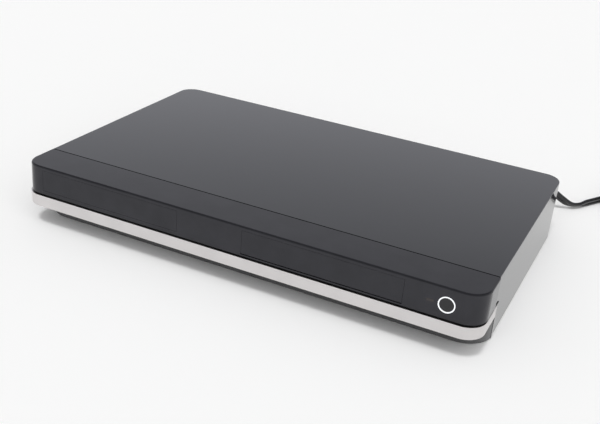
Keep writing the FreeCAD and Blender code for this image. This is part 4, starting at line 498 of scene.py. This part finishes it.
class Maker:
    """Collects the faces of one piece, in millimetres, and makes its object."""

    def __init__(self, name: str) -> None:
        """Starts an empty piece of that name."""
        self.name = name
        self.mesh = bmesh.new()

    def block(self, low: Point, high: Point, soften: float = 0.0, steps: int = 2) -> None:
        """Adds a block with softened edges.

        Args:
            low: its lowest corner.
            high: its highest corner.
            soften: the radius of its edges.
            steps: how many facets each edge gets.
        """
        size = Vector(high) - Vector(low)
        middle = (Vector(high) + Vector(low)) / 2
        made = bmesh.ops.create_cube(self.mesh, size=1.0)["verts"]
        bmesh.ops.scale(self.mesh, vec=size, verts=made)
        bmesh.ops.translate(self.mesh, vec=middle, verts=made)
        if soften > 0:
            edges = list({e for v in made for e in v.link_edges})
            bmesh.ops.bevel(self.mesh, geom=edges, offset=soften, segments=steps, affect="EDGES", profile=0.5)

    def turned(self, centre: Point, axis: Turn, profile: list[tuple[float, float]], sides: int = 48) -> None:
        """Adds a turned piece.

        Args:
            centre: the point of the axis that the heights start from.
            axis: the axis.
            profile: radius and height of each corner, as a closed outline.
            sides: how many facets it has round.
        """
        rings = []
        for radius, height in profile:
            if radius <= TIP_RADIUS:
                rings.append([self.mesh.verts.new(Vector(centre) + axis.place(0.0, 0.0, height))])
                continue
            ring = []
            for i in range(sides):
                angle = 2 * math.pi * i / sides
                ring.append(self.mesh.verts.new(Vector(centre) + axis.place(radius, angle, height)))
            rings.append(ring)
        for i, ring in enumerate(rings):
            self._bridge(ring, rings[(i + 1) % len(rings)], sides)

    def _bridge(self, a: list[bmesh.types.BMVert], b: list[bmesh.types.BMVert], sides: int) -> None:
        """Joins two rings of a turned piece, where a ring of one point is its tip.

        Args:
            a: the points of the first ring.
            b: the points of the second ring.
            sides: how many facets the piece has round.
        """
        if len(a) == 1 and len(b) == 1:
            return
        for i in range(sides):
            j = (i + 1) % sides
            if len(a) == 1:
                self.mesh.faces.new((a[0], b[j], b[i]))
            elif len(b) == 1:
                self.mesh.faces.new((a[i], a[j], b[0]))
            else:
                self.mesh.faces.new((a[i], a[j], b[j], b[i]))

    def swept(self, rows: list[list[Vector]]) -> None:
        """Adds a closed tube through rows of points, with flat ends.

        Args:
            rows: the corners of each section, in order.
        """
        rings = [[self.mesh.verts.new(p) for p in row] for row in rows]
        count = len(rings[0])
        for a, b in zip(rings, rings[1:]):
            for i in range(count):
                j = (i + 1) % count
                self.mesh.faces.new((a[i], a[j], b[j], b[i]))
        self.mesh.faces.new(list(reversed(rings[0])))
        self.mesh.faces.new(rings[-1])

    def finish(self, finish: Finish, body: str, slot: str, replaces: tuple[str, ...] = ()) -> Object:
        """Makes the object, in metres, and says what it rides on and stands for.

        Args:
            finish: its surface.
            body: the frame's body that it rides on.
            slot: the record's slot that it takes its finish from; not used.
            replaces: the frame's nodes that it stands for.

        Returns:
            The object.
        """
        bmesh.ops.scale(self.mesh, vec=(MM, MM, MM), verts=self.mesh.verts)
        bmesh.ops.recalc_face_normals(self.mesh, faces=self.mesh.faces)
        for face in self.mesh.faces:
            face.smooth = True
        for edge in self.mesh.edges:
            if len(edge.link_faces) == 2:
                edge.smooth = edge.calc_face_angle(0.0) < SHARP_ANGLE
        data = bpy.data.meshes.new(self.name)
        self.mesh.to_mesh(data)
        self.mesh.free()
        data.materials.append(finish.build())
        piece = bpy.data.objects.new(self.name, data)
        bpy.context.scene.collection.objects.link(piece)
        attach(piece, body)
        if replaces:
            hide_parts(*replaces)
        LOG.info("made %s", self.name)
        return piece


@dataclass(frozen=True)
class CarriedNode:
    """A node of the frame that keeps its shape, with softened edges and its own finish."""

    name: str
    finish: Finish
    soften: float = 0.15
    steps: int = 2

    def dress(self, node: Object) -> None:
        """Gives the node its finish and its softened edges.

        Args:
            node: the frame's object.
        """
        material = self.finish.build()
        if not node.data.materials:
            node.data.materials.append(material)
        for place in node.material_slots:
            place.material = material
        if self.soften > 0:
            flat = node.modifiers.new("flat_faces", "DECIMATE")
            flat.decimate_type = "DISSOLVE"
            flat.angle_limit = FLAT_ANGLE
            edge = node.modifiers.new("soft_edges", "BEVEL")
            edge.width = self.soften * MM
            edge.segments = self.steps
            edge.limit_method = "ANGLE"
            edge.angle_limit = BEVEL_ANGLE
            edge.harden_normals = True
        LOG.info("dressed %s", self.name)


@dataclass
class SubAssembly:
    """A group of the frame's nodes that keep their shapes."""

    def parts(self) -> list[CarriedNode]:
        """The nodes of the group, with their finishes and the radius of their edges."""
        return []

    def build(self, nodes: dict[str, Object]) -> None:
        """Dresses the group's nodes.

        Args:
            nodes: the frame's nodes.
        """
        for part in self.parts():
            part.dress(nodes[part.name])


# The studio


@dataclass
class Studio:
    """The camera, the floor and the light."""

    azimuth: float = 23.691
    elevation: float = 25.372
    roll: float = 5.222
    distance: float = 830.64
    target: Point = (17.17, -42.48, 36.56)
    focal: float = 925.37
    frame_width: float = 600.0
    sensor: float = 36.0
    near: float = 0.01
    far: float = 50.0
    floor_half: float = 6.0
    floor_cells: int = 8
    floor_tone: float = 0.965
    floor_roughness: float = 0.9
    mirrored_lift: float = 0.08
    dome: float = 0.38
    key_strength: float = 1.05
    key_spread: float = 11.0
    key_from: Point = (0.06, -0.44, 0.89)
    fill_strength: float = 1.55
    fill_spread: float = 75.0
    fill_from: Point = (0.4, -0.68, 0.62)
    lamp_distance: float = 3.0
    mirrored_tint: Colour = (0.96, 0.97, 1.04)
    sky_levels: tuple[tuple[float, float], ...] = (
        (0.0, 1.0),
        (17.0, 1.0),
        (20.0, 0.93),
        (23.0, 0.86),
        (26.0, 0.8),
        (30.0, 0.66),
        (38.0, 0.12),
        (90.0, 0.12),
    )

    def camera(self) -> Object:
        """Makes the camera of the photograph's view.

        Returns:
            The camera.
        """
        data = bpy.data.cameras.new("view")
        data.sensor_fit = "HORIZONTAL"
        data.sensor_width = self.sensor
        data.lens = self.focal * self.sensor / self.frame_width
        data.clip_start = self.near
        data.clip_end = self.far
        camera = bpy.data.objects.new("view", data)
        bpy.context.scene.collection.objects.link(camera)
        a = math.radians(self.azimuth)
        e = math.radians(self.elevation)
        back = Vector((math.sin(a) * math.cos(e), -math.cos(a) * math.cos(e), math.sin(e)))
        right = (-back).cross(Vector((0, 0, 1))).normalized()
        up = right.cross(-back)
        r = math.radians(self.roll)
        turned_right = right * math.cos(r) + up * math.sin(r)
        turned_up = up * math.cos(r) - right * math.sin(r)
        place = (Vector(self.target) + back * self.distance) * MM
        rows = [(turned_right[i], turned_up[i], back[i], place[i]) for i in range(3)]
        camera.matrix_world = Matrix((*rows, (0.0, 0.0, 0.0, 1.0)))
        bpy.context.scene.camera = camera
        return camera

    def floor(self) -> None:
        """Makes the pale floor."""
        mesh = bmesh.new()
        cells = self.floor_cells
        bmesh.ops.create_grid(mesh, x_segments=cells, y_segments=cells, size=self.floor_half)
        data = bpy.data.meshes.new("floor")
        mesh.to_mesh(data)
        mesh.free()
        material = bpy.data.materials.new("floor_white")
        material.use_nodes = True
        tree = material.node_tree
        shader = tree.nodes["Principled BSDF"]
        shader.inputs["Base Color"].default_value = (self.floor_tone, self.floor_tone, self.floor_tone, 1.0)
        shader.inputs["Roughness"].default_value = self.floor_roughness
        shader.inputs["Specular IOR Level"].default_value = 0.0
        path = tree.nodes.new("ShaderNodeLightPath")
        lift = add_math(tree, "MULTIPLY", path.outputs["Is Glossy Ray"], self.mirrored_lift)
        shader.inputs["Emission Color"].default_value = (1.0, 1.0, 1.0, 1.0)
        tree.links.new(lift, shader.inputs["Emission Strength"])
        data.materials.append(material)
        plane = bpy.data.objects.new("floor", data)
        bpy.context.scene.collection.objects.link(plane)

    def sky(self) -> None:
        """Makes a white surrounding that is even for what it lights and dims upwards for what mirrors it."""
        world = bpy.data.worlds.new("surround")
        world.use_nodes = True
        tree = world.node_tree
        background = tree.nodes["Background"]
        background.inputs["Strength"].default_value = 1.0
        path = tree.nodes.new("ShaderNodeLightPath")
        shown = path.outputs["Is Camera Ray"]
        for other in ("Is Glossy Ray", "Is Transmission Ray"):
            shown = add_math(tree, "MAXIMUM", shown, path.outputs[other])
        dome = (self.dome, self.dome, self.dome, 1.0)
        tree.links.new(add_blend(tree, shown, dome, self._height_ramp(tree)), background.inputs["Color"])
        bpy.context.scene.world = world

    def _height_ramp(self, tree: NodeTree) -> NodeSocket:
        """Adds the levels of the surrounding by the angle above the horizon.

        Args:
            tree: the world's nodes.

        Returns:
            The level's colour.
        """
        place = tree.nodes.new("ShaderNodeTexCoord").outputs["Generated"]
        ramp = tree.nodes.new("ShaderNodeValToRGB")
        stops = ramp.color_ramp.elements
        while len(stops) < len(self.sky_levels):
            stops.new(0.5)
        for stop, (angle, level) in zip(stops, self.sky_levels):
            stop.position = math.sin(math.radians(angle))
            stop.color = (*(level * t for t in self.mirrored_tint), 1.0)
        tree.links.new(split_place(tree, place)["Z"], ramp.inputs["Fac"])
        return ramp.outputs["Color"]

    def light(self, name: str, direction: Point, strength: float, spread: float) -> None:
        """Adds a soft light that shines from one side on everything.

        Args:
            name: its name.
            direction: where it comes from.
            strength: its strength.
            spread: how wide it looks, in degrees.
        """
        data = bpy.data.lights.new(name, "SUN")
        data.energy = strength
        data.angle = math.radians(spread)
        lamp = bpy.data.objects.new(name, data)
        lamp.location = Vector(direction) * self.lamp_distance
        lamp.rotation_euler = Vector(direction).to_track_quat("Z", "Y").to_euler()
        lamp.visible_glossy = False
        bpy.context.scene.collection.objects.link(lamp)

    def build(self) -> None:
        """Makes the floor, the surrounding and the two lights."""
        self.floor()
        self.sky()
        self.light("key", self.key_from, self.key_strength, self.key_spread)
        self.light("fill", self.fill_from, self.fill_strength, self.fill_spread)
        view = bpy.context.scene.view_settings
        view.view_transform = "Standard"
        LOG.info("made the studio")


# The mains lead


@dataclass
class MainsLead:
    """The flat twin lead: its free stretch, and its coil beside the recorder, which ends at the plug.

    Leans are the angles of its flat side above the surface, in degrees, by the way along it.
    """

    width: float = 7.6
    thickness: float = 3.8
    web: float = 2.5
    start: Point = (191.0, 163.0, 27.0)
    route: tuple[Point, ...] = (
        (191.0, 170.6, 27.0),
        (192.9, 179.1, 25.6),
        (196.7, 186.4, 22.7),
        (202.0, 192.3, 18.1),
        (208.5, 196.8, 12.1),
        (215.0, 201.3, 7.0),
        (221.0, 206.8, 4.4),
        (227.2, 214.6, 4.0),
        (233.9, 225.6, 4.0),
        (240.6, 237.0, 4.0),
        (248.76, 250.37, 4.0),
        (254.46, 260.24, 4.0),
    )
    coil_centre: tuple[float, float] = (300.8, 248.5)
    outer: float = 46.0
    pitch: float = 4.6
    half_turns: int = 5
    climb_step: float = 5.2
    layer: float = 8.4
    low: float = 4.0
    start_angle: float = 150.0
    end_drop: float = 24.0
    end_straight: float = 8.0
    plug_middle: float = 8.0
    points_per_half: int = 8
    core_steps: int = 12
    line_order: int = 3
    line_steps: int = 8
    leans: tuple[tuple[float, float], ...] = (
        (0.0, 90.0),
        (44.0, 88.0),
        (61.0, 30.0),
        (67.0, 30.0),
        (82.0, 86.0),
        (130.0, 90.0),
    )
    length: float = 1.53

    def on_coil(self, angle: float, radius: float, z: float) -> Vector:
        """A point of the coil.

        Args:
            angle: its angle round the coil, in degrees.
            radius: its distance from the coil's middle.
            z: its height.

        Returns:
            The point, in millimetres.
        """
        a = math.radians(angle)
        x, y = self.coil_centre
        return Vector((x + radius * math.cos(a), y + radius * math.sin(a), z))

    def heading(self, angle: float) -> Vector:
        """The direction of travel at an angle of the coil, which winds clockwise."""
        a = math.radians(angle)
        return Vector((math.sin(a), -math.cos(a), 0.0))

    def coil_points(self) -> list[Vector]:
        """The control points of the turns, two layers that go in and out again, and of the end.

        Returns:
            The points, in millimetres.
        """
        radii = [self.outer - self.pitch / 2 * i for i in range(self.half_turns)]
        radii.append(radii[-1] - self.climb_step)
        radii += list(reversed(radii))
        high = self.low + self.layer
        angle = self.start_angle
        points = []
        share = math.pi / self.points_per_half
        for i in range(len(radii) - 1):
            begin = self.on_coil(angle, radii[i], self.low if i <= self.half_turns else high)
            end = self.on_coil(angle - 180, radii[i + 1], self.low if i < self.half_turns else high)
            middle = (begin + end) / 2
            reach = (end - begin).length / 2
            for k in range(self.points_per_half):
                turn = (k + 0.5) * share
                out = (begin - middle) * math.cos(turn) + self.heading(angle) * (reach * math.sin(turn))
                points.append(middle + out / math.cos(share / 2))
            angle -= 180
        last = self.on_coil(angle, self.outer, high)
        away = self.heading(angle)
        drop = Vector((0.0, 0.0, high - self.plug_middle))
        falls = (
            (self.width, 0.0),
            (self.width + self.end_straight, 0.0),
            (self.width + self.end_drop - self.end_straight, 1.0),
            (self.width + self.end_drop, 1.0),
            (2 * self.width + self.end_drop, 1.0),
        )
        return points + [last + away * along - drop * fall for along, fall in falls]

    def centre_line(self) -> list[Vector]:
        """The points along the lead's smooth line, from its control points.

        Returns:
            The points, in millimetres.
        """
        control = [Vector(self.start)] + [Vector(p) for p in self.route] + self.coil_points()
        data = bpy.data.curves.new("lead_line", "CURVE")
        data.dimensions = "3D"
        spline = data.splines.new("NURBS")
        spline.points.add(len(control) - 1)
        for point, place in zip(spline.points, control):
            point.co = (*(place * MM), 1.0)
        spline.order_u = self.line_order
        spline.use_endpoint_u = True
        spline.resolution_u = self.line_steps
        line = bpy.data.objects.new("lead_line", data)
        bpy.context.scene.collection.objects.link(line)
        mesh = bpy.data.meshes.new_from_object(line)
        points = [v.co / MM for v in mesh.vertices]
        bpy.data.objects.remove(line)
        bpy.data.meshes.remove(mesh)
        return points

    def lean(self, along: float) -> float:
        """The angle of the lead's flat side above the surface: upright, lying down, then upright again.

        Args:
            along: the way along the lead, in millimetres.

        Returns:
            The angle, in radians.
        """
        for (start, before), (end, after) in zip(self.leans, self.leans[1:]):
            if along <= end:
                part = (along - start) / (end - start)
                part = part * part * (3 - 2 * part)
                return math.radians(before + (after - before) * part)
        return math.radians(self.leans[-1][1])

    def section(self) -> list[tuple[float, float]]:
        """The outline across the lead: two round cores joined by a web.

        Returns:
            Each corner's place across the lead and through it, in millimetres.
        """
        r = self.thickness / 2
        dip = math.asin(self.web / 2 / r)
        side = []
        for i in range(self.core_steps + 1):
            angle = -(math.pi - dip) + 2 * (math.pi - dip) * i / self.core_steps
            side.append((self.width / 2 - r + r * math.cos(angle), r * math.sin(angle)))
        return side + [(-a, -b) for a, b in side]

    def build(self, nodes: dict[str, Object]) -> None:
        """Args:
            nodes: the frame's nodes; not used.
        """
        line = self.centre_line()
        outline = self.section()
        rows = []
        along = 0.0
        for i, point in enumerate(line):
            before = line[max(i - 1, 0)]
            after = line[min(i + 1, len(line) - 1)]
            if i > 0:
                along += (point - line[i - 1]).length
            ahead = (after - before).normalized()
            side = ahead.cross(Vector((0, 0, 1))).normalized()
            rise = side.cross(ahead)
            lean = self.lean(along)
            wide = side * math.cos(lean) + rise * math.sin(lean)
            thin = ahead.cross(wide)
            rows.append([point + wide * a + thin * b for a, b in outline])
        LOG.info("lead is %.1f mm long", along)
        maker = Maker("mains_lead")
        maker.swept(rows)
        lead = maker.finish(CORD_BLACK, "case", "cord_black", ("power_cord", "cord_coil"))


# The recorder


@dataclass
class OuterShell(SubAssembly):
    """Cover, bezel, band, base and rear panel."""

    sheet_edge: float = 0.12
    base_edge: float = 0.15
    skirt_edge: float = 0.2
    band_edge: float = 0.25
    screw_edge: float = 0.1

    def parts(self) -> list[CarriedNode]:
        """The shell's nodes, with their finishes and the radius of their edges."""
        return [
            CarriedNode("top_cover", COVER_GLOSS, self.sheet_edge),
            CarriedNode("front_bezel", BEZEL_PAINTED_EDGE_SHADE, self.sheet_edge),
            CarriedNode("lower_bezel", LOWER_SKIRT_PAINTED_LIGHT, self.skirt_edge),
            CarriedNode("silver_band", BAND_SILVER, self.band_edge, 3),
            CarriedNode("bottom_chassis", ZINC_STEEL, self.base_edge),
            CarriedNode("rear_panel", PANEL_PAINT, self.sheet_edge),
            CarriedNode("rear_screws", SCREW_METAL, self.screw_edge),
        ]


@dataclass
class Feet:
    """Four round pads with a rounded rim and two rings of groove underneath."""

    radius: float = 11.0
    side: float = 168.4
    rows: tuple[float, float] = (-76.47, 101.67)
    height: float = 1.0
    facets: int = 64
    rim: tuple[tuple[float, float], ...] = ((0.0, 0.35), (0.12, 0.12), (0.4, 0.0))
    grooves: int = 2
    first_groove: float = 2.2
    groove_spacing: float = 3.4
    groove_width: float = 1.4
    groove_depth: float = 0.3
    groove_slope: float = 0.2

    def profile(self) -> list[tuple[float, float]]:
        """The outline of half a pad.

        Returns:
            Radius and height of each corner, in millimetres.
        """
        corners = [(0.0, self.height), (self.radius, self.height)]
        corners += [(self.radius - inwards, z) for inwards, z in self.rim]
        for i in range(self.grooves):
            start = self.radius - self.first_groove - self.groove_spacing * i
            end = start - self.groove_width
            corners += [
                (start, 0.0),
                (start - self.groove_slope, self.groove_depth),
                (end + self.groove_slope, self.groove_depth),
                (end, 0.0),
            ]
        return corners + [(0.0, 0.0)]

    def build(self) -> None:
        """Makes the four pads as one piece."""
        maker = Maker("foot_pads")
        for x in (-self.side, self.side):
            for y in self.rows:
                maker.turned((x, y, 0.0), Turn.Z, self.profile(), self.facets)
        maker.finish(FOOT_RUBBER, "case", "foot_rubber", ("feet",))


@dataclass
class FrontControls(SubAssembly):
    """Power button, status lens, flap and what is behind it."""

    keys: int = 4
    key_edge: float = 0.25
    ring_edge: float = 0.15
    small_edge: float = 0.1
    door_edge: float = 0.05
    bay_edge: float = 0.15
    socket_edge: float = 0.08

    def parts(self) -> list[CarriedNode]:
        """The nodes of the front, with their finishes and the radius of their edges."""
        parts = [
            CarriedNode("power_ring", RING_GREY, self.ring_edge, 3),
            CarriedNode("power_button", BUTTON_GLOSS, self.key_edge, 3),
            CarriedNode("status_lens", LENS_SMOKE, self.small_edge),
            CarriedNode("flap_door", BEZEL_GLOSS, self.door_edge),
            CarriedNode("flap_bay", BAY_BLACK, self.bay_edge),
            CarriedNode("flap_catch", BAY_BLACK, self.small_edge),
            CarriedNode("front_board", FRONT_BOARD_GREEN, self.door_edge),
            CarriedNode("usb_socket_front", SOCKET_METAL, self.socket_edge),
            CarriedNode("card_reader", SOCKET_METAL, self.small_edge),
        ]
        names = [f"bay_key_{i + 1}" for i in range(self.keys)]
        return parts + [CarriedNode(name, KEY_GREY, self.key_edge, 3) for name in names]


@dataclass
class DiscDrive(SubAssembly):
    """The tray and its drive, the traverse and the laser."""

    moulded_edge: float = 0.15
    sheet_edge: float = 0.12
    small_edge: float = 0.1
    gear_edge: float = 0.08
    thin_edge: float = 0.05

    def parts(self) -> list[CarriedNode]:
        """The drive's nodes, with their finishes and the radius of their edges."""
        return [
            CarriedNode("drive_base", DRIVE_GREY, self.moulded_edge),
            CarriedNode("drive_cover", DRIVE_STEEL, self.sheet_edge),
            CarriedNode("clamp_bridge", DRIVE_STEEL, self.sheet_edge),
            CarriedNode("clamper", TRAY_BLACK, self.moulded_edge),
            CarriedNode("disc_tray", TRAY_BLACK, self.moulded_edge),
            CarriedNode("tray_fascia", BEZEL_GLOSS, self.thin_edge),
            CarriedNode("tray_gear", GEAR_WHITE, self.gear_edge),
            CarriedNode("pulley_gear", GEAR_WHITE, self.gear_edge),
            CarriedNode("motor_pulley", GEAR_WHITE, self.gear_edge),
            CarriedNode("tray_belt", BELT_BLACK, self.thin_edge),
            CarriedNode("tray_motor", MOTOR_METAL, self.sheet_edge),
            CarriedNode("cam_slider", GEAR_WHITE, self.small_edge),
            CarriedNode("traverse_frame", DRIVE_GREY, self.sheet_edge),
            CarriedNode("sled_rods", ROD_STEEL, self.small_edge),
            CarriedNode("sled_screw", ROD_STEEL, 0.0),
            CarriedNode("sled_motor", MOTOR_METAL, self.small_edge),
            CarriedNode("laser_sled", SLED_METAL, self.sheet_edge),
            CarriedNode("objective_lens", LENS_GLASS, 0.0),
            CarriedNode("spindle_motor", MOTOR_METAL, self.sheet_edge),
            CarriedNode("turntable", TABLE_RUBBER, self.small_edge),
        ]


@dataclass
class Electronics(SubAssembly):
    """Hard drive, boards, sockets, fan and inlet."""

    cast_edge: float = 0.3
    plug_edge: float = 0.25
    part_edge: float = 0.2
    frame_edge: float = 0.15
    sheet_edge: float = 0.12
    socket_edge: float = 0.08
    board_edge: float = 0.05

    def parts(self) -> list[CarriedNode]:
        """The nodes inside and on the rear, with their finishes and the radius of their edges."""
        return [
            CarriedNode("hard_drive", HDD_METAL, self.cast_edge),
            CarriedNode("hdd_bracket", ZINC_STEEL, self.sheet_edge),
            CarriedNode("main_board", BOARD_GREEN, self.board_edge),
            CarriedNode("heat_sink", SINK_METAL, self.sheet_edge),
            CarriedNode("tuner_can", TUNER_METAL, self.part_edge),
            CarriedNode("aerial_sockets", SOCKET_METAL, self.socket_edge),
            CarriedNode("hdmi_socket", SOCKET_METAL, self.socket_edge),
            CarriedNode("lan_socket", SOCKET_BLACK, self.sheet_edge),
            CarriedNode("usb_socket_rear", SOCKET_METAL, self.socket_edge),
            CarriedNode("power_board", BOARD_GREEN, self.board_edge),
            CarriedNode("power_parts", POWER_MIX, self.part_edge),
            CarriedNode("fan_frame", FAN_BLACK, self.frame_edge),
            CarriedNode("fan_rotor", FAN_BLACK, self.socket_edge),
            CarriedNode("ac_inlet", INLET_BLACK, self.sheet_edge),
            CarriedNode("cord_plug", PLUG_BLACK, self.plug_edge),
            CarriedNode("mains_plug", PLUG_BLACK, self.cast_edge),
        ]


@dataclass
class TongueSocket:
    """The tongue of a socket and the contacts on its faces.

    The mouth is the middle of the tongue's outer end, and inwards is the way into the socket along Y. Each
    row of contacts has its face, 1 for the upper and -1 for the lower, and its places across.
    """

    tongue: str
    strips: str
    mouth: Point
    inwards: int
    finish: Finish
    half: float
    length: float
    thick: float
    soften: float
    rows: tuple[tuple[int, tuple[float, ...]], ...]
    contact_half: float
    contact_from: float
    contact_to: float
    contact_proud: float
    contact_sunk: float
    contact_soften: float

    def build(self) -> None:
        """Makes the tongue and its contacts."""
        x, y, z = self.mouth
        half = self.thick / 2
        front, rear = sorted((y, y + self.inwards * self.length))
        tongue = Maker(self.tongue)
        tongue.block((x - self.half, front, z - half), (x + self.half, rear, z + half), self.soften)
        tongue.finish(self.finish, "case", "socket_metal")
        strips = Maker(self.strips)
        front, rear = sorted((y + self.inwards * self.contact_from, y + self.inwards * self.contact_to))
        for side, places in self.rows:
            face = z + side * half
            low, high = sorted((face + side * self.contact_proud, face - side * self.contact_sunk))
            for place in places:
                left = x + place - self.contact_half
                right = x + place + self.contact_half
                strips.block((left, front, low), (right, rear, high), self.contact_soften)
        strips.finish(CONTACT_GOLD, "case", "socket_metal")


@dataclass
class UsbSocket(TongueSocket):
    """The white tongue of a USB socket, with four contacts below."""

    finish: Finish = TONGUE_WHITE
    half: float = 5.86
    length: float = 12.9
    thick: float = 1.92
    soften: float = 0.2
    rows: tuple[tuple[int, tuple[float, ...]], ...] = ((-1, (-3.5, -1.0, 1.0, 3.5)),)
    contact_half: float = 0.5
    contact_from: float = 0.8
    contact_to: float = 9.5
    contact_proud: float = 0.08
    contact_sunk: float = 0.05
    contact_soften: float = 0.03


@dataclass
class DisplaySocket(TongueSocket):
    """The thin black tongue of the display socket, with ten contacts above and nine below, 1 mm apart."""

    finish: Finish = TONGUE_BLACK
    half: float = 5.96
    length: float = 13.9
    thick: float = 0.9
    soften: float = 0.15
    rows: tuple[tuple[int, tuple[float, ...]], ...] = (
        (1, tuple(i - 4.5 for i in range(10))),
        (-1, tuple(i - 4.0 for i in range(9))),
    )
    contact_half: float = 0.26
    contact_from: float = 0.9
    contact_to: float = 8.0
    contact_proud: float = 0.04
    contact_sunk: float = 0.04
    contact_soften: float = 0.02


@dataclass
class NetworkSocket:
    """The eight sprung contacts under the roof of the network socket.

    The roof is the middle of its front edge. Each bend has its way along Y and its drop below the roof.
    """

    roof: Point = (-44.0, 118.0, 20.4)
    wires: int = 8
    pitch: float = 1.02
    bends: tuple[tuple[float, float], ...] = ((11.5, 0.05), (10.6, 0.12), (3.0, 2.4), (1.2, 2.7), (0.2, 2.4))
    half_width: float = 0.2
    half_thick: float = 0.12

    def build(self) -> None:
        """Makes the contacts as one piece."""
        x, y, z = self.roof
        a = self.half_width
        b = self.half_thick
        corners = ((-a, -b), (a, -b), (a, b), (-a, b))
        wires = Maker("network_contacts")
        for i in range(self.wires):
            place = x + (i - (self.wires - 1) / 2) * self.pitch
            rows = []
            for along, drop in self.bends:
                rows.append([Vector((place + across, y + along, z - drop + up)) for across, up in corners])
            wires.swept(rows)
        wires.finish(CONTACT_GOLD, "case", "socket_metal")


@dataclass
class AerialWashers:
    """The washer round each aerial socket, against the rear panel."""

    places: tuple[float, ...] = (-172.5, -153.5, -134.5, -115.5)
    panel_y: float = 131.72
    z: float = 20.6
    inner: float = 4.74
    width: float = 1.9
    thick: float = 0.55
    rim: float = 0.15

    def build(self) -> None:
        """Makes the washers as one piece."""
        maker = Maker("aerial_washers")
        outer = self.inner + self.width
        profile = [
            (self.inner, 0.0),
            (outer, 0.0),
            (outer, self.thick - self.rim),
            (outer - self.rim, self.thick),
            (self.inner + self.rim, self.thick),
            (self.inner, self.thick - self.rim),
        ]
        for x in self.places:
            maker.turned((x, self.panel_y, self.z), Turn.Y, profile)
        maker.finish(TIN, "case", "socket_metal")


@dataclass
class ReliefRibs:
    """The ribs round the lead's strain relief, which gets thinner away from the plug."""

    first: Point = (191.0, 145.0, 27.0)
    count: int = 5
    pitch: float = 3.2
    radius: float = 5.2
    taper: float = 0.13
    depth: float = 1.2
    half_width: float = 0.7
    rounding: float = 0.25

    def build(self) -> None:
        """Makes the ribs as one piece."""
        maker = Maker("relief_ribs")
        x, y, z = self.first
        half = self.half_width
        for i in range(self.count):
            radius = self.radius - self.taper * i
            profile = [
                (radius - self.depth, -half),
                (radius - self.rounding, -half),
                (radius, self.rounding - half),
                (radius, half - self.rounding),
                (radius - self.rounding, half),
                (radius - self.depth, half),
            ]
            maker.turned((x, y + self.pitch * i, z), Turn.Y, profile)
        maker.finish(PLUG_BLACK, "case", "plug_black")


@dataclass
class SocketParts:
    """The small pieces in and round the sockets, and the ribs of the lead's strain relief."""

    front_usb: Point = (24.0, -126.56, 40.6)
    rear_usb: Point = (50.0, 130.96, 13.7)
    display: Point = (-78.0, 130.76, 12.5)

    def build(self) -> None:
        """Makes all of them."""
        UsbSocket("usb_front_tongue", "usb_front_tongue_contacts", self.front_usb, 1).build()
        UsbSocket("usb_rear_tongue", "usb_rear_tongue_contacts", self.rear_usb, -1).build()
        DisplaySocket("display_tongue", "display_contacts", self.display, -1).build()
        NetworkSocket().build()
        AerialWashers().build()
        ReliefRibs().build()


def main() -> None:
    """Builds the camera, the lead, the recorder and the studio in order."""
    logging.basicConfig(level=logging.INFO, format="%(name)s: %(message)s")
    for left_over in list(bpy.data.objects):
        bpy.data.objects.remove(left_over)
    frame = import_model()
    nodes = frame["nodes"]
    studio = Studio()
    studio.camera()
    MainsLead().build(nodes)
    OuterShell().build(nodes)
    Feet().build()
    FrontControls().build(nodes)
    DiscDrive().build(nodes)
    Electronics().build(nodes)
    SocketParts().build()
    studio.build()


if __name__ == "__main__":
    main()
